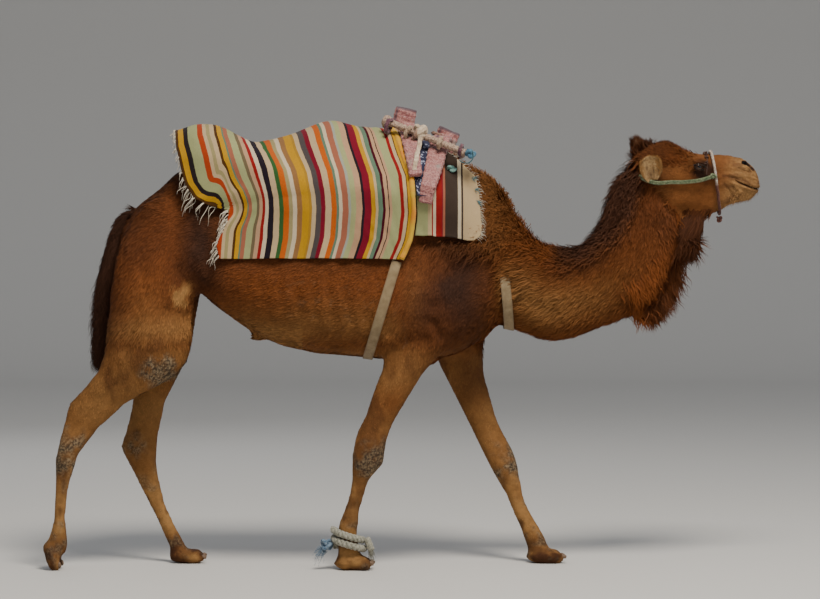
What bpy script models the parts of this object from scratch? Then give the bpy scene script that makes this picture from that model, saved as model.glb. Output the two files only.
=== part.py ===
# A life-size dromedary camel in mid stride, in the riding gear of a beach camel.
# Metres, +Z up, head towards +X, its right side towards -Y, feet on z = 0.
# The flesh is lofted limb by limb, fused and smoothed into one body, then parted
# with thin cuts into the pieces a person would name. The gear is fitted over it.

import math

import bmesh
import bpy
import numpy as np
from mathutils import Matrix, Vector
from mathutils.bvhtree import BVHTree

# Driving dimensions
GAP = 0.0004  # clearance that touching pieces keep
SKIN_CELL = 0.009  # cell of the mesh that fuses the limbs
RING_POINTS = 28  # points round a lofted section
STEPS_PER_STATION = 5  # rings between two stations of a loft

HIP_SPREAD = 0.165  # half the distance between the thighs
STIFLE_SPREAD = 0.19
ELBOW_SPREAD = 0.165
FOOT_SPREAD = 0.135
LEG_WALL = 0.065  # distance of a leg's inner wall from the middle
PAD_LENGTH = 0.185  # sole of a fore foot, heel to toe
PAD_WIDTH = 0.165

EYE_RADIUS = 0.026
EYE_PLACE = (1.384, 0.088, 1.874)  # the left eye

BLANKET_THICKNESS = 0.007
DRAPE_AXIS = 1.40  # level that angles round the back are measured from
BOARD_THICKNESS = 0.026
BAR_RADIUS = 0.017
CLOTH_THICKNESS = 0.005
KNOT_RADIUS = 0.014
STRAP_WIDTH = 0.048
ROPE_RADIUS = 0.007
NOSEBAND_RADIUS = 0.009
HOBBLE_RADIUS = 0.016

# Triangles that each piece keeps once it is thinned
FACES = {
    "head": 1000,
    "body": 1990,
    "tail": 190,
}


def clear_scene():
    for obj in list(bpy.data.objects):
        bpy.data.objects.remove(obj)


clear_scene()
CAMEL = bpy.data.collections.new("dromedary_camel")
CUTTERS = bpy.data.collections.new("cutters")
bpy.context.scene.collection.children.link(CAMEL)
bpy.context.scene.collection.children.link(CUTTERS)


def material(name, colour, roughness, metallic=0.0):
    made = bpy.data.materials.new(name)
    made.use_nodes = True
    made.diffuse_color = (*colour, 1.0)
    shader = made.node_tree.nodes["Principled BSDF"]
    shader.inputs["Base Color"].default_value = (*colour, 1.0)
    shader.inputs["Roughness"].default_value = roughness
    shader.inputs["Metallic"].default_value = metallic
    return made


COAT = material("coat", (0.30, 0.13, 0.045), 0.9)
DARK_HAIR = material("dark_hair", (0.07, 0.03, 0.018), 0.9)
EAR_HAIR = material("ear_hair", (0.42, 0.29, 0.14), 0.9)
EYE = material("eye", (0.015, 0.01, 0.008), 0.1)
HORN = material("horn", (0.07, 0.05, 0.035), 0.5)
STRIPED_WOOL = material("striped_wool", (0.55, 0.42, 0.28), 0.95)
PAD_CLOTH = material("pad_cloth", (0.30, 0.22, 0.14), 0.95)
WRAPPED_BOARD = material("wrapped_board", (0.48, 0.24, 0.22), 0.8)
COTTON = material("cotton", (0.62, 0.52, 0.42), 0.9)
WEBBING = material("webbing", (0.40, 0.36, 0.24), 0.85)
GREEN_ROPE = material("green_rope", (0.12, 0.26, 0.15), 0.8)
BROWN_ROPE = material("brown_rope", (0.09, 0.04, 0.025), 0.8)
GREY_ROPE = material("grey_rope", (0.26, 0.27, 0.20), 0.9)


# Meshes, objects and modifiers


def shown(mesh, name, finish):
    obj = bpy.data.objects.new(name, mesh)
    CAMEL.objects.link(obj)
    mesh.materials.clear()
    mesh.materials.append(finish)
    return obj


def helper(mesh, name):
    obj = bpy.data.objects.new(name, mesh)
    CUTTERS.objects.link(obj)
    obj.hide_render = True
    obj.display_type = "WIRE"
    return obj


def evaluated_mesh(obj):
    bpy.context.view_layer.update()
    graph = bpy.context.evaluated_depsgraph_get()
    mesh = bpy.data.meshes.new_from_object(obj.evaluated_get(graph))
    mesh.transform(obj.matrix_world)
    return mesh


def settle(obj):
    # Replaces the object's mesh with what its modifiers make of it.
    mesh = evaluated_mesh(obj)
    obj.modifiers.clear()
    finish = obj.data.materials[0] if obj.data.materials else None
    obj.data = mesh
    obj.matrix_world = Matrix.Identity(4)
    mesh.materials.clear()
    if finish:
        mesh.materials.append(finish)
    return obj


def copy_of(obj, name):
    return helper(obj.data.copy(), name)


def dilated(obj, distance, name="dilated"):
    grown = copy_of(obj, name)
    push = grown.modifiers.new("push", "DISPLACE")
    push.direction = "NORMAL"
    push.mid_level = 0.0
    push.strength = distance
    return settle(grown)


def boolean(obj, other, operation, solver="EXACT"):
    step = obj.modifiers.new(operation.lower(), "BOOLEAN")
    step.operation = operation
    step.solver = solver
    step.object = other
    return settle(obj)


def thinned(obj, faces):
    count = sum(len(polygon.vertices) - 2 for polygon in obj.data.polygons)
    step = obj.modifiers.new("thin", "DECIMATE")
    step.ratio = min(1.0, faces / count)
    step.use_collapse_triangulate = True
    return settle(obj)


def mesh_from(points, faces, name="form"):
    mesh = bpy.data.meshes.new(name)
    mesh.from_pydata([tuple(p) for p in points], [], faces)
    form = bmesh.new()
    form.from_mesh(mesh)
    bmesh.ops.recalc_face_normals(form, faces=form.faces)
    form.to_mesh(mesh)
    form.free()
    return mesh


def joined(meshes, name):
    form = bmesh.new()
    for mesh in meshes:
        form.from_mesh(mesh)
    mesh = bpy.data.meshes.new(name)
    form.to_mesh(mesh)
    form.free()
    return mesh


def half(obj, point, normal):
    # Keeps the part of the object on the far side of the plane from its normal, capped.
    form = bmesh.new()
    form.from_mesh(obj.data)
    cut = bmesh.ops.bisect_plane(
        form,
        geom=form.verts[:] + form.edges[:] + form.faces[:],
        plane_co=point,
        plane_no=normal,
        clear_outer=True,
    )
    rim = [item for item in cut["geom_cut"] if isinstance(item, bmesh.types.BMEdge)]
    bmesh.ops.holes_fill(form, edges=rim)
    bmesh.ops.triangulate(form, faces=[f for f in form.faces if len(f.verts) > 4])
    form.to_mesh(obj.data)
    form.free()
    return obj


def main_body(obj):
    # Drops the crumbs that a cut leaves beside the main body.
    form = bmesh.new()
    form.from_mesh(obj.data)
    form.verts.ensure_lookup_table()
    islands = []
    left = set(form.verts)
    while left:
        island = set()
        reached = [left.pop()]
        while reached:
            vert = reached.pop()
            island.add(vert)
            beside = {edge.other_vert(vert) for edge in vert.link_edges} & left
            left -= beside
            reached.extend(beside)
        islands.append(island)
    crumbs = set(form.verts) - max(islands, key=len)
    bmesh.ops.delete(form, geom=list(crumbs), context="VERTS")
    form.to_mesh(obj.data)
    form.free()
    return obj


# Shapes


def curve_through(rows, steps):
    # Catmull-Rom curve through the rows of a table, each column on its own.
    rows = np.asarray(rows, float)
    ends = np.vstack([2 * rows[0] - rows[1], rows, 2 * rows[-1] - rows[-2]])
    out = []
    for i in range(len(rows) - 1):
        a, b, c, d = ends[i : i + 4]
        for t in np.linspace(0, 1, steps, endpoint=False):
            out.append(
                0.5
                * (
                    2 * b
                    + (c - a) * t
                    + (2 * a - 5 * b + 4 * c - d) * t**2
                    + (3 * b - a - 3 * c + d) * t**3
                )
            )
    out.append(rows[-1])
    return np.array(out)


def section(centre, side, top, up, down, width, egg, square):
    # A rounded section: width across, up and down from its widest level. A positive egg
    # narrows its top and a negative one its bottom. square makes it boxier than an ellipse.
    turn = np.linspace(0, 2 * math.pi, RING_POINTS, endpoint=False)
    c, s = np.cos(turn), np.sin(turn)
    bulge = 2.0 / square
    across = np.sign(c) * np.abs(c) ** bulge
    rise = np.sign(s) * np.abs(s) ** bulge
    across = across * width * (1 - egg * rise)
    rise = np.where(rise > 0, rise * up, rise * down)
    return centre + across[:, None] * side + rise[:, None] * top


def loft(ribs, square=2.2):
    # A rib runs from a front or top point (xa, za) of the outline to a rear or bottom point
    # (xb, zb), at y, with a half width and an egg. The surface is drawn over the ribs.
    rows = curve_through(ribs, STEPS_PER_STATION)
    side = np.array([0.0, 1.0, 0.0])
    rings = []
    for xa, za, xb, zb, y, width, egg in rows:
        high = np.array([xa, y, za])
        low = np.array([xb, y, zb])
        top = high - low
        reach = max(np.linalg.norm(top), 0.006)
        top = top / reach
        rings.append(
            section((high + low) / 2, side, top, reach / 2, reach / 2, max(width, 0.004), egg, square)
        )
    return skinned(rings)


def level_loft(profile, square=2.2):
    # Upright sections along X, each (x, top, bottom, widest level, half width, egg).
    rows = curve_through(profile, STEPS_PER_STATION)
    side = np.array([0.0, 1.0, 0.0])
    upright = np.array([0.0, 0.0, 1.0])
    rings = []
    for x, high, low, level, width, egg in rows:
        level = min(max(level, low + 0.002), high - 0.002)
        centre = np.array([x, 0.0, level])
        rings.append(
            section(centre, side, upright, high - level, level - low, max(width, 0.004), egg, square)
        )
    return skinned(rings)


def skinned(rings):
    points = np.vstack(rings)
    count = len(rings[0])
    faces = []
    for i in range(len(rings) - 1):
        for j in range(count):
            k = (j + 1) % count
            a, b = i * count, (i + 1) * count
            faces.append((a + j, a + k, b + k, b + j))
    faces.append(tuple(range(count)))
    faces.append(tuple(range(len(points) - count, len(points))))
    return mesh_from(points, faces)


def ellipsoid(centre, radii, pitch=0.0, yaw=0.0, roll=0.0, segments=24):
    form = bmesh.new()
    bmesh.ops.create_uvsphere(form, u_segments=segments, v_segments=segments // 2, radius=1)
    turn = (
        Matrix.Rotation(math.radians(yaw), 4, "Z")
        @ Matrix.Rotation(math.radians(pitch), 4, "Y")
        @ Matrix.Rotation(math.radians(roll), 4, "X")
    )
    place = Matrix.Translation(centre) @ turn @ Matrix.Diagonal((*radii, 1))
    bmesh.ops.transform(form, matrix=place, verts=form.verts)
    mesh = bpy.data.meshes.new("ellipsoid")
    form.to_mesh(mesh)
    form.free()
    return mesh


def block(size, centre, pitch=0.0, yaw=0.0, roll=0.0, name="block"):
    form = bmesh.new()
    bmesh.ops.create_cube(form, size=1)
    turn = (
        Matrix.Rotation(math.radians(yaw), 4, "Z")
        @ Matrix.Rotation(math.radians(pitch), 4, "Y")
        @ Matrix.Rotation(math.radians(roll), 4, "X")
    )
    place = Matrix.Translation(centre) @ turn @ Matrix.Diagonal((*size, 1))
    bmesh.ops.transform(form, matrix=place, verts=form.verts)
    mesh = bpy.data.meshes.new(name)
    form.to_mesh(mesh)
    form.free()
    return mesh


# Flesh


def trunk_form():
    # x, top, bottom, level of the widest, half width, egg
    return level_loft(
        [
            (-1.325, 1.560, 1.430, 1.50, 0.050, 0.00),
            (-1.285, 1.640, 1.310, 1.49, 0.125, 0.05),
            (-1.220, 1.715, 1.270, 1.48, 0.180, 0.12),
            (-1.140, 1.775, 1.255, 1.48, 0.215, 0.20),
            (-1.060, 1.850, 1.260, 1.49, 0.240, 0.28),
            (-0.960, 1.905, 1.295, 1.50, 0.258, 0.32),
            (-0.850, 1.925, 1.205, 1.49, 0.285, 0.34),
            (-0.730, 1.925, 1.118, 1.48, 0.295, 0.32),
            (-0.570, 1.910, 1.042, 1.46, 0.312, 0.31),
            (-0.400, 1.900, 1.002, 1.44, 0.320, 0.31),
            (-0.240, 1.900, 0.987, 1.43, 0.315, 0.32),
            (-0.080, 1.905, 0.974, 1.41, 0.298, 0.34),
            (0.080, 1.915, 0.968, 1.39, 0.278, 0.36),
            (0.220, 1.915, 0.985, 1.38, 0.262, 0.38),
            (0.350, 1.880, 1.045, 1.39, 0.245, 0.36),
            (0.450, 1.800, 1.120, 1.42, 0.210, 0.25),
            (0.520, 1.660, 1.200, 1.44, 0.160, 0.10),
            (0.570, 1.560, 1.300, 1.43, 0.090, 0.00),
        ]
    )


def hump_form():
    # x, top, bottom, level of the widest, half width, egg
    return level_loft(
        [
            (-0.860, 1.920, 1.700, 1.76, 0.100, 0.50),
            (-0.700, 1.955, 1.650, 1.74, 0.160, 0.55),
            (-0.540, 2.000, 1.600, 1.72, 0.200, 0.60),
            (-0.380, 2.050, 1.600, 1.72, 0.215, 0.64),
            (-0.220, 2.068, 1.600, 1.72, 0.215, 0.66),
            (-0.060, 2.045, 1.600, 1.72, 0.200, 0.64),
            (0.100, 1.995, 1.620, 1.72, 0.180, 0.58),
            (0.240, 1.940, 1.650, 1.74, 0.140, 0.50),
            (0.340, 1.890, 1.700, 1.76, 0.080, 0.40),
        ]
    )


def neck_form():
    # Ribs from the crest to the throat side, down out of the chest and up to the head.
    return loft(
        [
            (0.360, 1.840, 0.340, 1.120, 0, 0.190, 0.20),
            (0.470, 1.780, 0.440, 1.130, 0, 0.190, 0.15),
            (0.560, 1.640, 0.560, 1.095, 0, 0.168, 0.10),
            (0.650, 1.550, 0.680, 1.055, 0, 0.150, 0.05),
            (0.745, 1.525, 0.800, 1.062, 0, 0.137, 0.00),
            (0.835, 1.535, 0.930, 1.112, 0, 0.126, -0.05),
            (0.900, 1.600, 1.065, 1.155, 0, 0.116, -0.15),
            (0.938, 1.665, 1.205, 1.180, 0, 0.107, -0.25),
            (0.965, 1.745, 1.310, 1.330, 0, 0.100, -0.30),
            (0.990, 1.820, 1.350, 1.470, 0, 0.094, -0.28),
            (1.030, 1.885, 1.352, 1.580, 0, 0.090, -0.20),
            (1.085, 1.925, 1.320, 1.650, 0, 0.084, -0.10),
            (1.140, 1.930, 1.290, 1.700, 0, 0.070, 0.00),
        ],
        square=2.1,
    )


def head_forms():
    skull = level_loft(
        [
            (1.075, 1.890, 1.790, 1.840, 0.040, 0.00),
            (1.115, 1.935, 1.725, 1.835, 0.082, 0.05),
            (1.180, 1.982, 1.680, 1.830, 0.100, 0.10),
            (1.240, 2.000, 1.695, 1.835, 0.104, 0.12),
            (1.310, 1.966, 1.720, 1.845, 0.104, 0.12),
            (1.390, 1.942, 1.735, 1.850, 0.097, 0.14),
            (1.455, 1.940, 1.745, 1.845, 0.076, 0.16),
            (1.525, 1.936, 1.755, 1.835, 0.063, 0.12),
            (1.590, 1.924, 1.753, 1.825, 0.061, 0.05),
            (1.635, 1.896, 1.749, 1.815, 0.059, 0.00),
            (1.665, 1.862, 1.753, 1.805, 0.048, 0.00),
            (1.683, 1.816, 1.771, 1.795, 0.022, 0.00),
        ]
    )
    mandible = level_loft(
        [
            (1.150, 1.800, 1.670, 1.740, 0.070, -0.10),
            (1.220, 1.810, 1.640, 1.730, 0.084, -0.20),
            (1.300, 1.810, 1.648, 1.730, 0.080, -0.25),
            (1.400, 1.820, 1.656, 1.740, 0.066, -0.25),
            (1.480, 1.820, 1.662, 1.750, 0.052, -0.20),
            (1.550, 1.807, 1.699, 1.757, 0.045, -0.15),
            (1.610, 1.788, 1.713, 1.758, 0.043, -0.10),
            (1.650, 1.782, 1.726, 1.762, 0.036, 0.00),
            (1.668, 1.774, 1.750, 1.764, 0.016, 0.00),
        ]
    )
    throat_hair = loft(
        [
            (1.420, 1.680, 1.290, 1.670, 0, 0.034, 0.0),
            (1.428, 1.640, 1.300, 1.610, 0, 0.038, 0.0),
            (1.415, 1.590, 1.320, 1.550, 0, 0.032, 0.0),
            (1.395, 1.530, 1.335, 1.500, 0, 0.020, 0.0),
            (1.375, 1.490, 1.345, 1.480, 0, 0.010, 0.0),
        ]
    )
    forms = [skull, mandible, throat_hair]
    for side in (-1, 1):
        forms += [
            ellipsoid((1.376, side * 0.078, 1.905), (0.056, 0.026, 0.020), pitch=4, yaw=side * -8),
            ellipsoid((1.290, side * 0.066, 1.770), (0.090, 0.028, 0.070), pitch=12),
            ellipsoid((1.595, side * 0.040, 1.855), (0.050, 0.024, 0.030), pitch=30),
            ellipsoid((1.615, side * 0.034, 1.790), (0.058, 0.026, 0.034), pitch=-8),
        ]
    return forms


def toes(x, y, heading, length):
    # The sole of a foot: one wide pad under two toes that point along the heading.
    turn = math.radians(heading)
    ahead = np.array([math.cos(turn), math.sin(turn)])
    beside = np.array([-ahead[1], ahead[0]])
    forms = [
        ellipsoid(
            (x - 0.014 * ahead[0], y - 0.014 * ahead[1], 0.030),
            (length * 0.44, PAD_WIDTH * 0.45, 0.038),
            yaw=heading,
        )
    ]
    for side in (-1, 1):
        spot = np.array([x, y]) + ahead * length * 0.20 + beside * side * 0.034
        forms.append(
            ellipsoid(
                (spot[0], spot[1], 0.030),
                (length * 0.33, PAD_WIDTH * 0.24, 0.036),
                pitch=8,
                yaw=heading + side * 7,
            )
        )
    return forms


def limb(ribs, side):
    # Ribs from the front edge to the rear edge, each (x, z, x, z, y, half width).
    return loft([(xa, za, xb, zb, side * y, wide, 0.0) for xa, za, xb, zb, y, wide in ribs])


def foreleg_right_forms():
    leg = limb(
        [
            (0.395, 1.420, 0.100, 1.500, 0.150, 0.075),
            (0.380, 1.285, 0.030, 1.360, 0.165, 0.088),
            (0.325, 1.165, -0.035, 1.225, 0.172, 0.092),
            (0.250, 1.065, -0.078, 1.085, ELBOW_SPREAD, 0.088),
            (0.130, 0.940, -0.090, 0.940, 0.162, 0.078),
            (0.075, 0.865, -0.120, 0.865, 0.158, 0.070),
            (0.030, 0.790, -0.145, 0.790, 0.155, 0.064),
            (-0.015, 0.715, -0.170, 0.715, 0.152, 0.058),
            (-0.050, 0.645, -0.205, 0.645, 0.149, 0.056),
            (-0.070, 0.570, -0.225, 0.570, 0.146, 0.060),
            (-0.083, 0.495, -0.230, 0.495, 0.143, 0.060),
            (-0.145, 0.420, -0.230, 0.420, 0.141, 0.042),
            (-0.170, 0.345, -0.242, 0.345, 0.139, 0.034),
            (-0.190, 0.270, -0.268, 0.270, 0.137, 0.034),
            (-0.200, 0.205, -0.292, 0.205, 0.136, 0.042),
            (-0.200, 0.135, -0.297, 0.135, FOOT_SPREAD, 0.047),
            (-0.188, 0.075, -0.297, 0.075, FOOT_SPREAD, 0.050),
            (-0.190, 0.030, -0.290, 0.030, FOOT_SPREAD, 0.050),
        ],
        -1,
    )
    elbow = ellipsoid((-0.020, -0.190, 1.075), (0.046, 0.040, 0.085), pitch=20)
    return [leg, elbow] + toes(-0.222, -FOOT_SPREAD, -4, PAD_LENGTH)


def foreleg_left_forms():
    leg = limb(
        [
            (0.435, 1.420, 0.120, 1.500, 0.150, 0.075),
            (0.435, 1.265, 0.120, 1.315, 0.165, 0.088),
            (0.415, 1.135, 0.120, 1.165, 0.172, 0.090),
            (0.395, 1.025, 0.140, 1.035, ELBOW_SPREAD, 0.086),
            (0.395, 0.925, 0.185, 0.925, 0.162, 0.078),
            (0.410, 0.850, 0.225, 0.850, 0.158, 0.070),
            (0.430, 0.775, 0.258, 0.775, 0.155, 0.064),
            (0.455, 0.695, 0.300, 0.695, 0.152, 0.058),
            (0.487, 0.620, 0.340, 0.620, 0.149, 0.056),
            (0.527, 0.545, 0.375, 0.545, 0.146, 0.060),
            (0.552, 0.470, 0.415, 0.470, 0.143, 0.060),
            (0.568, 0.395, 0.455, 0.395, 0.141, 0.044),
            (0.585, 0.315, 0.502, 0.315, 0.139, 0.034),
            (0.615, 0.240, 0.532, 0.240, 0.137, 0.034),
            (0.660, 0.165, 0.568, 0.165, 0.136, 0.044),
            (0.697, 0.095, 0.592, 0.095, FOOT_SPREAD, 0.048),
            (0.715, 0.030, 0.615, 0.030, FOOT_SPREAD, 0.050),
        ],
        1,
    )
    return [leg] + toes(0.684, FOOT_SPREAD, 4, PAD_LENGTH)


def hindleg_right_forms():
    leg = limb(
        [
            (-0.900, 1.560, -1.235, 1.660, 0.120, 0.090),
            (-0.900, 1.420, -1.310, 1.520, 0.145, 0.105),
            (-0.940, 1.300, -1.340, 1.360, 0.160, 0.110),
            (-0.962, 1.185, -1.355, 1.225, HIP_SPREAD, 0.105),
            (-0.960, 1.085, -1.368, 1.115, 0.180, 0.100),
            (-0.980, 0.990, -1.380, 1.015, STIFLE_SPREAD, 0.092),
            (-1.045, 0.905, -1.405, 0.935, 0.186, 0.078),
            (-1.155, 0.835, -1.455, 0.870, 0.176, 0.066),
            (-1.255, 0.785, -1.515, 0.805, 0.167, 0.056),
            (-1.335, 0.720, -1.575, 0.745, 0.159, 0.049),
            (-1.395, 0.665, -1.614, 0.685, 0.153, 0.046),
            (-1.450, 0.605, -1.610, 0.605, 0.149, 0.048),
            (-1.500, 0.530, -1.605, 0.527, 0.146, 0.044),
            (-1.525, 0.455, -1.605, 0.455, 0.143, 0.036),
            (-1.545, 0.385, -1.610, 0.385, 0.141, 0.030),
            (-1.555, 0.305, -1.615, 0.305, 0.139, 0.028),
            (-1.560, 0.235, -1.620, 0.235, 0.137, 0.029),
            (-1.555, 0.175, -1.632, 0.175, 0.136, 0.037),
            (-1.550, 0.115, -1.650, 0.125, FOOT_SPREAD, 0.044),
            (-1.565, 0.070, -1.655, 0.085, FOOT_SPREAD, 0.046),
        ],
        -1,
    )
    stifle = ellipsoid((-1.065, -0.205, 1.000), (0.055, 0.048, 0.075), pitch=-20)
    # The heel is off the ground and the foot stands on the tips of its two toes.
    foot = [ellipsoid((-1.625, -FOOT_SPREAD, 0.085), (0.058, 0.068, 0.040), pitch=62)]
    for toe_side in (-1, 1):
        spot = (-1.617, -FOOT_SPREAD + toe_side * 0.034, 0.042)
        foot.append(ellipsoid(spot, (0.062, 0.034, 0.036), pitch=70))
    return [leg, stifle] + foot


def hindleg_left_forms():
    leg = limb(
        [
            (-0.910, 1.560, -1.235, 1.660, 0.120, 0.090),
            (-0.910, 1.420, -1.300, 1.500, 0.145, 0.105),
            (-0.955, 1.265, -1.295, 1.330, 0.160, 0.110),
            (-0.975, 1.135, -1.280, 1.175, HIP_SPREAD, 0.102),
            (-1.000, 1.015, -1.265, 1.045, 0.182, 0.094),
            (-1.037, 0.935, -1.262, 0.945, STIFLE_SPREAD, 0.084),
            (-1.075, 0.860, -1.270, 0.860, 0.184, 0.074),
            (-1.115, 0.775, -1.283, 0.775, 0.174, 0.062),
            (-1.135, 0.695, -1.297, 0.695, 0.164, 0.053),
            (-1.150, 0.620, -1.316, 0.620, 0.156, 0.048),
            (-1.160, 0.545, -1.336, 0.545, 0.150, 0.049),
            (-1.163, 0.470, -1.298, 0.470, 0.146, 0.046),
            (-1.152, 0.395, -1.258, 0.395, 0.143, 0.037),
            (-1.133, 0.315, -1.220, 0.315, 0.140, 0.030),
            (-1.107, 0.240, -1.177, 0.240, 0.138, 0.028),
            (-1.070, 0.165, -1.143, 0.165, 0.136, 0.034),
            (-1.030, 0.095, -1.112, 0.095, FOOT_SPREAD, 0.044),
            (-1.005, 0.030, -1.095, 0.030, FOOT_SPREAD, 0.048),
        ],
        1,
    )
    stifle = ellipsoid((-1.058, 0.205, 1.000), (0.048, 0.044, 0.070), pitch=-10)
    return [leg, stifle] + toes(-1.020, FOOT_SPREAD, 4, PAD_LENGTH * 0.92)


def chest_forms():
    # The breast pad that the camel kneels on, the sheath, and the points of the shoulders.
    forms = [
        ellipsoid((0.090, 0, 0.985), (0.105, 0.055, 0.045)),
        ellipsoid((-0.655, 0, 1.085), (0.055, 0.032, 0.030), pitch=-20),
    ]
    for side in (-1, 1):
        forms += [
            ellipsoid((0.300, side * 0.140, 1.310), (0.160, 0.095, 0.230), pitch=12),
            ellipsoid((0.170, side * 0.120, 1.500), (0.190, 0.120, 0.300), pitch=-14),
            ellipsoid((-1.100, side * 0.135, 1.620), (0.130, 0.080, 0.105), pitch=30),
        ]
    return forms


def tail_form():
    return loft(
        [
            (-1.245, 1.700, -1.215, 1.600, 0, 0.038, 0.0),
            (-1.310, 1.662, -1.260, 1.575, 0, 0.044, 0.0),
            (-1.366, 1.580, -1.285, 1.520, 0, 0.047, 0.0),
            (-1.398, 1.470, -1.308, 1.440, 0, 0.050, 0.0),
            (-1.420, 1.350, -1.325, 1.350, 0, 0.052, 0.0),
            (-1.430, 1.230, -1.332, 1.230, 0, 0.052, 0.0),
            (-1.432, 1.120, -1.340, 1.120, 0, 0.048, 0.0),
            (-1.424, 1.030, -1.350, 1.030, 0, 0.040, 0.0),
            (-1.405, 0.975, -1.360, 0.975, 0, 0.026, 0.0),
            (-1.388, 0.950, -1.372, 0.950, 0, 0.010, 0.0),
        ]
    )


def fused_flesh():
    forms = [trunk_form(), hump_form(), neck_form()]
    forms += head_forms() + chest_forms()
    forms += foreleg_right_forms() + foreleg_left_forms()
    forms += hindleg_right_forms() + hindleg_left_forms()
    flesh = helper(joined(forms, "flesh"), "flesh")
    fuse = flesh.modifiers.new("fuse", "REMESH")
    fuse.mode = "VOXEL"
    fuse.voxel_size = SKIN_CELL
    settle(flesh)
    # The broad masses are blended more than the head and the lower legs.
    points = np.array([v.co for v in flesh.data.vertices])
    broad = np.clip((points[:, 2] - 0.90) / 0.25, 0, 1)
    broad *= np.clip((1.05 - points[:, 0]) / 0.15, 0, 1)
    for name, weight, rounds in (("broad", broad, 40), ("fine", np.ones(len(points)), 4)):
        group = flesh.vertex_groups.new(name=name)
        for index, value in enumerate(weight):
            group.add([index], float(value), "REPLACE")
        smooth = flesh.modifiers.new(name, "SMOOTH")
        smooth.factor = 0.5
        smooth.iterations = rounds
        smooth.vertex_group = name
    return settle(flesh)


# Parting the flesh

HEAD_CUT = ((1.190, 0, 1.790), (0.814, 0, 0.581))
NECK_CUT = ((0.470, 0, 1.450), (0.990, 0, -0.140))


def along(plane, distance):
    # The plane moved along its normal.
    point, normal = Vector(plane[0]), Vector(plane[1]).normalized()
    return point + normal * distance, normal


def keep_front(obj, plane, distance):
    point, normal = along(plane, distance)
    return half(obj, point, -normal)


def keep_back(obj, plane, distance):
    point, normal = along(plane, distance)
    return half(obj, point, normal)


def leg_space(side, top, rear_top, front_top, rear_low, front_low, grow, name):
    # The block of space that a leg stands in. Its inner wall is upright and its top level.
    low = -0.05
    near, far = side * (LEG_WALL - grow), side * 0.45
    corners = []
    for y in (near, far):
        corners += [
            (rear_top - grow, y, top + grow),
            (front_top + grow, y, top + grow),
            (front_low + grow, y, low),
            (rear_low - grow, y, low),
        ]
    faces = [(0, 1, 2, 3), (4, 5, 6, 7), (0, 1, 5, 4), (1, 2, 6, 5), (2, 3, 7, 6), (3, 0, 4, 7)]
    return helper(mesh_from(corners, faces), name)


def part_leg(body, name, side, top, rear_top, front_top, rear_low, front_low):
    shape = (side, top, rear_top, front_top, rear_low, front_low)
    leg = shown(body.data.copy(), name, COAT)
    boolean(leg, leg_space(*shape, 0, name + "_space"), "INTERSECT")
    main_body(leg)
    boolean(body, leg_space(*shape, GAP, name + "_clearance"), "DIFFERENCE")


def fitted(obj, others, distance=GAP, solver="EXACT"):
    # Takes the neighbours, grown by the clearance, out of the object.
    for other in others:
        boolean(obj, dilated(other, distance), "DIFFERENCE", solver)
    return main_body(obj)


def eye(side, name):
    x, y, z = EYE_PLACE
    return shown(ellipsoid((x, side * y, z), (EYE_RADIUS,) * 3, segments=12), name, EYE)


def socket(head, side):
    x, y, z = EYE_PLACE
    mesh = ellipsoid((x, side * y, z), (EYE_RADIUS + GAP,) * 3, segments=12)
    return boolean(head, helper(mesh, "socket"), "DIFFERENCE")


def ear_mesh(base, tip, opening, wide, thick):
    # A leaf from base to tip whose face is scooped towards the opening.
    base, tip, opening = (Vector(v) for v in (base, tip, opening))
    axis = (tip - base).normalized()
    across = axis.cross(opening).normalized()
    face = across.cross(axis).normalized()
    length = (tip - base).length
    turn = Matrix((axis, across, face)).transposed().to_4x4()
    middle = (base + tip) / 2

    def leaf(centre, radii):
        mesh = ellipsoid((0, 0, 0), radii, segments=10)
        mesh.transform(Matrix.Translation(centre) @ turn)
        return mesh

    whole = helper(leaf(middle, (length / 2, wide, thick)), "leaf")
    hollow_centre = middle + face * thick * 0.9 + axis * length * 0.04
    scoop = helper(leaf(hollow_centre, (length * 0.37, wide * 0.66, thick * 1.25)), "scoop")
    boolean(whole, scoop, "DIFFERENCE")
    return whole.data


def toenail(name, place, leg, pitch=0.0):
    nail = shown(ellipsoid(place, (0.020, 0.013, 0.012), pitch=pitch, segments=6), name, HORN)
    return fitted(nail, [leg])


def build_flesh():
    whole = fused_flesh()
    head_part = copy_of(whole, "head_part")
    keep_front(head_part, HEAD_CUT, -0.020)
    thinned(head_part, FACES["head"])
    body = copy_of(whole, "body_part")
    keep_back(body, HEAD_CUT, 0.020)
    thinned(body, FACES["body"])
    half(body, (0, 0, 0), (0, 0, -1))

    head = shown(head_part.data.copy(), "head", COAT)
    keep_front(head, HEAD_CUT, GAP / 2)
    keep_back(body, HEAD_CUT, -GAP / 2)

    part_leg(body, "foreleg_right", -1, 1.085, -0.085, 0.262, -0.41, -0.02)
    part_leg(body, "foreleg_left", 1, 1.085, 0.125, 0.420, 0.45, 0.90)
    part_leg(body, "hindleg_right", -1, 1.250, -1.42, -0.93, -1.75, -0.93)
    part_leg(body, "hindleg_left", 1, 1.250, -1.42, -0.93, -1.42, -0.88)

    main_body(keep_front(shown(body.data.copy(), "neck", COAT), NECK_CUT, GAP / 2))
    main_body(keep_back(shown(body.data.copy(), "trunk", COAT), NECK_CUT, -GAP / 2))


def build_head_parts():
    head, neck = bpy.data.objects["head"], bpy.data.objects["neck"]
    for side, word in ((-1, "right"), (1, "left")):
        socket(head, side)
        eye(side, "eye_" + word)
    near = ear_mesh((1.190, -0.088, 1.805), (1.150, -0.135, 1.935), (0.25, -1, 0.1), 0.050, 0.022)
    fitted(shown(near, "ear_right", EAR_HAIR), [head, neck])
    far = ear_mesh((1.150, 0.080, 1.890), (1.085, 0.115, 2.020), (0.3, 1, 0.2), 0.032, 0.020)
    fitted(shown(far, "ear_left", EAR_HAIR), [head, neck])


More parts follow.
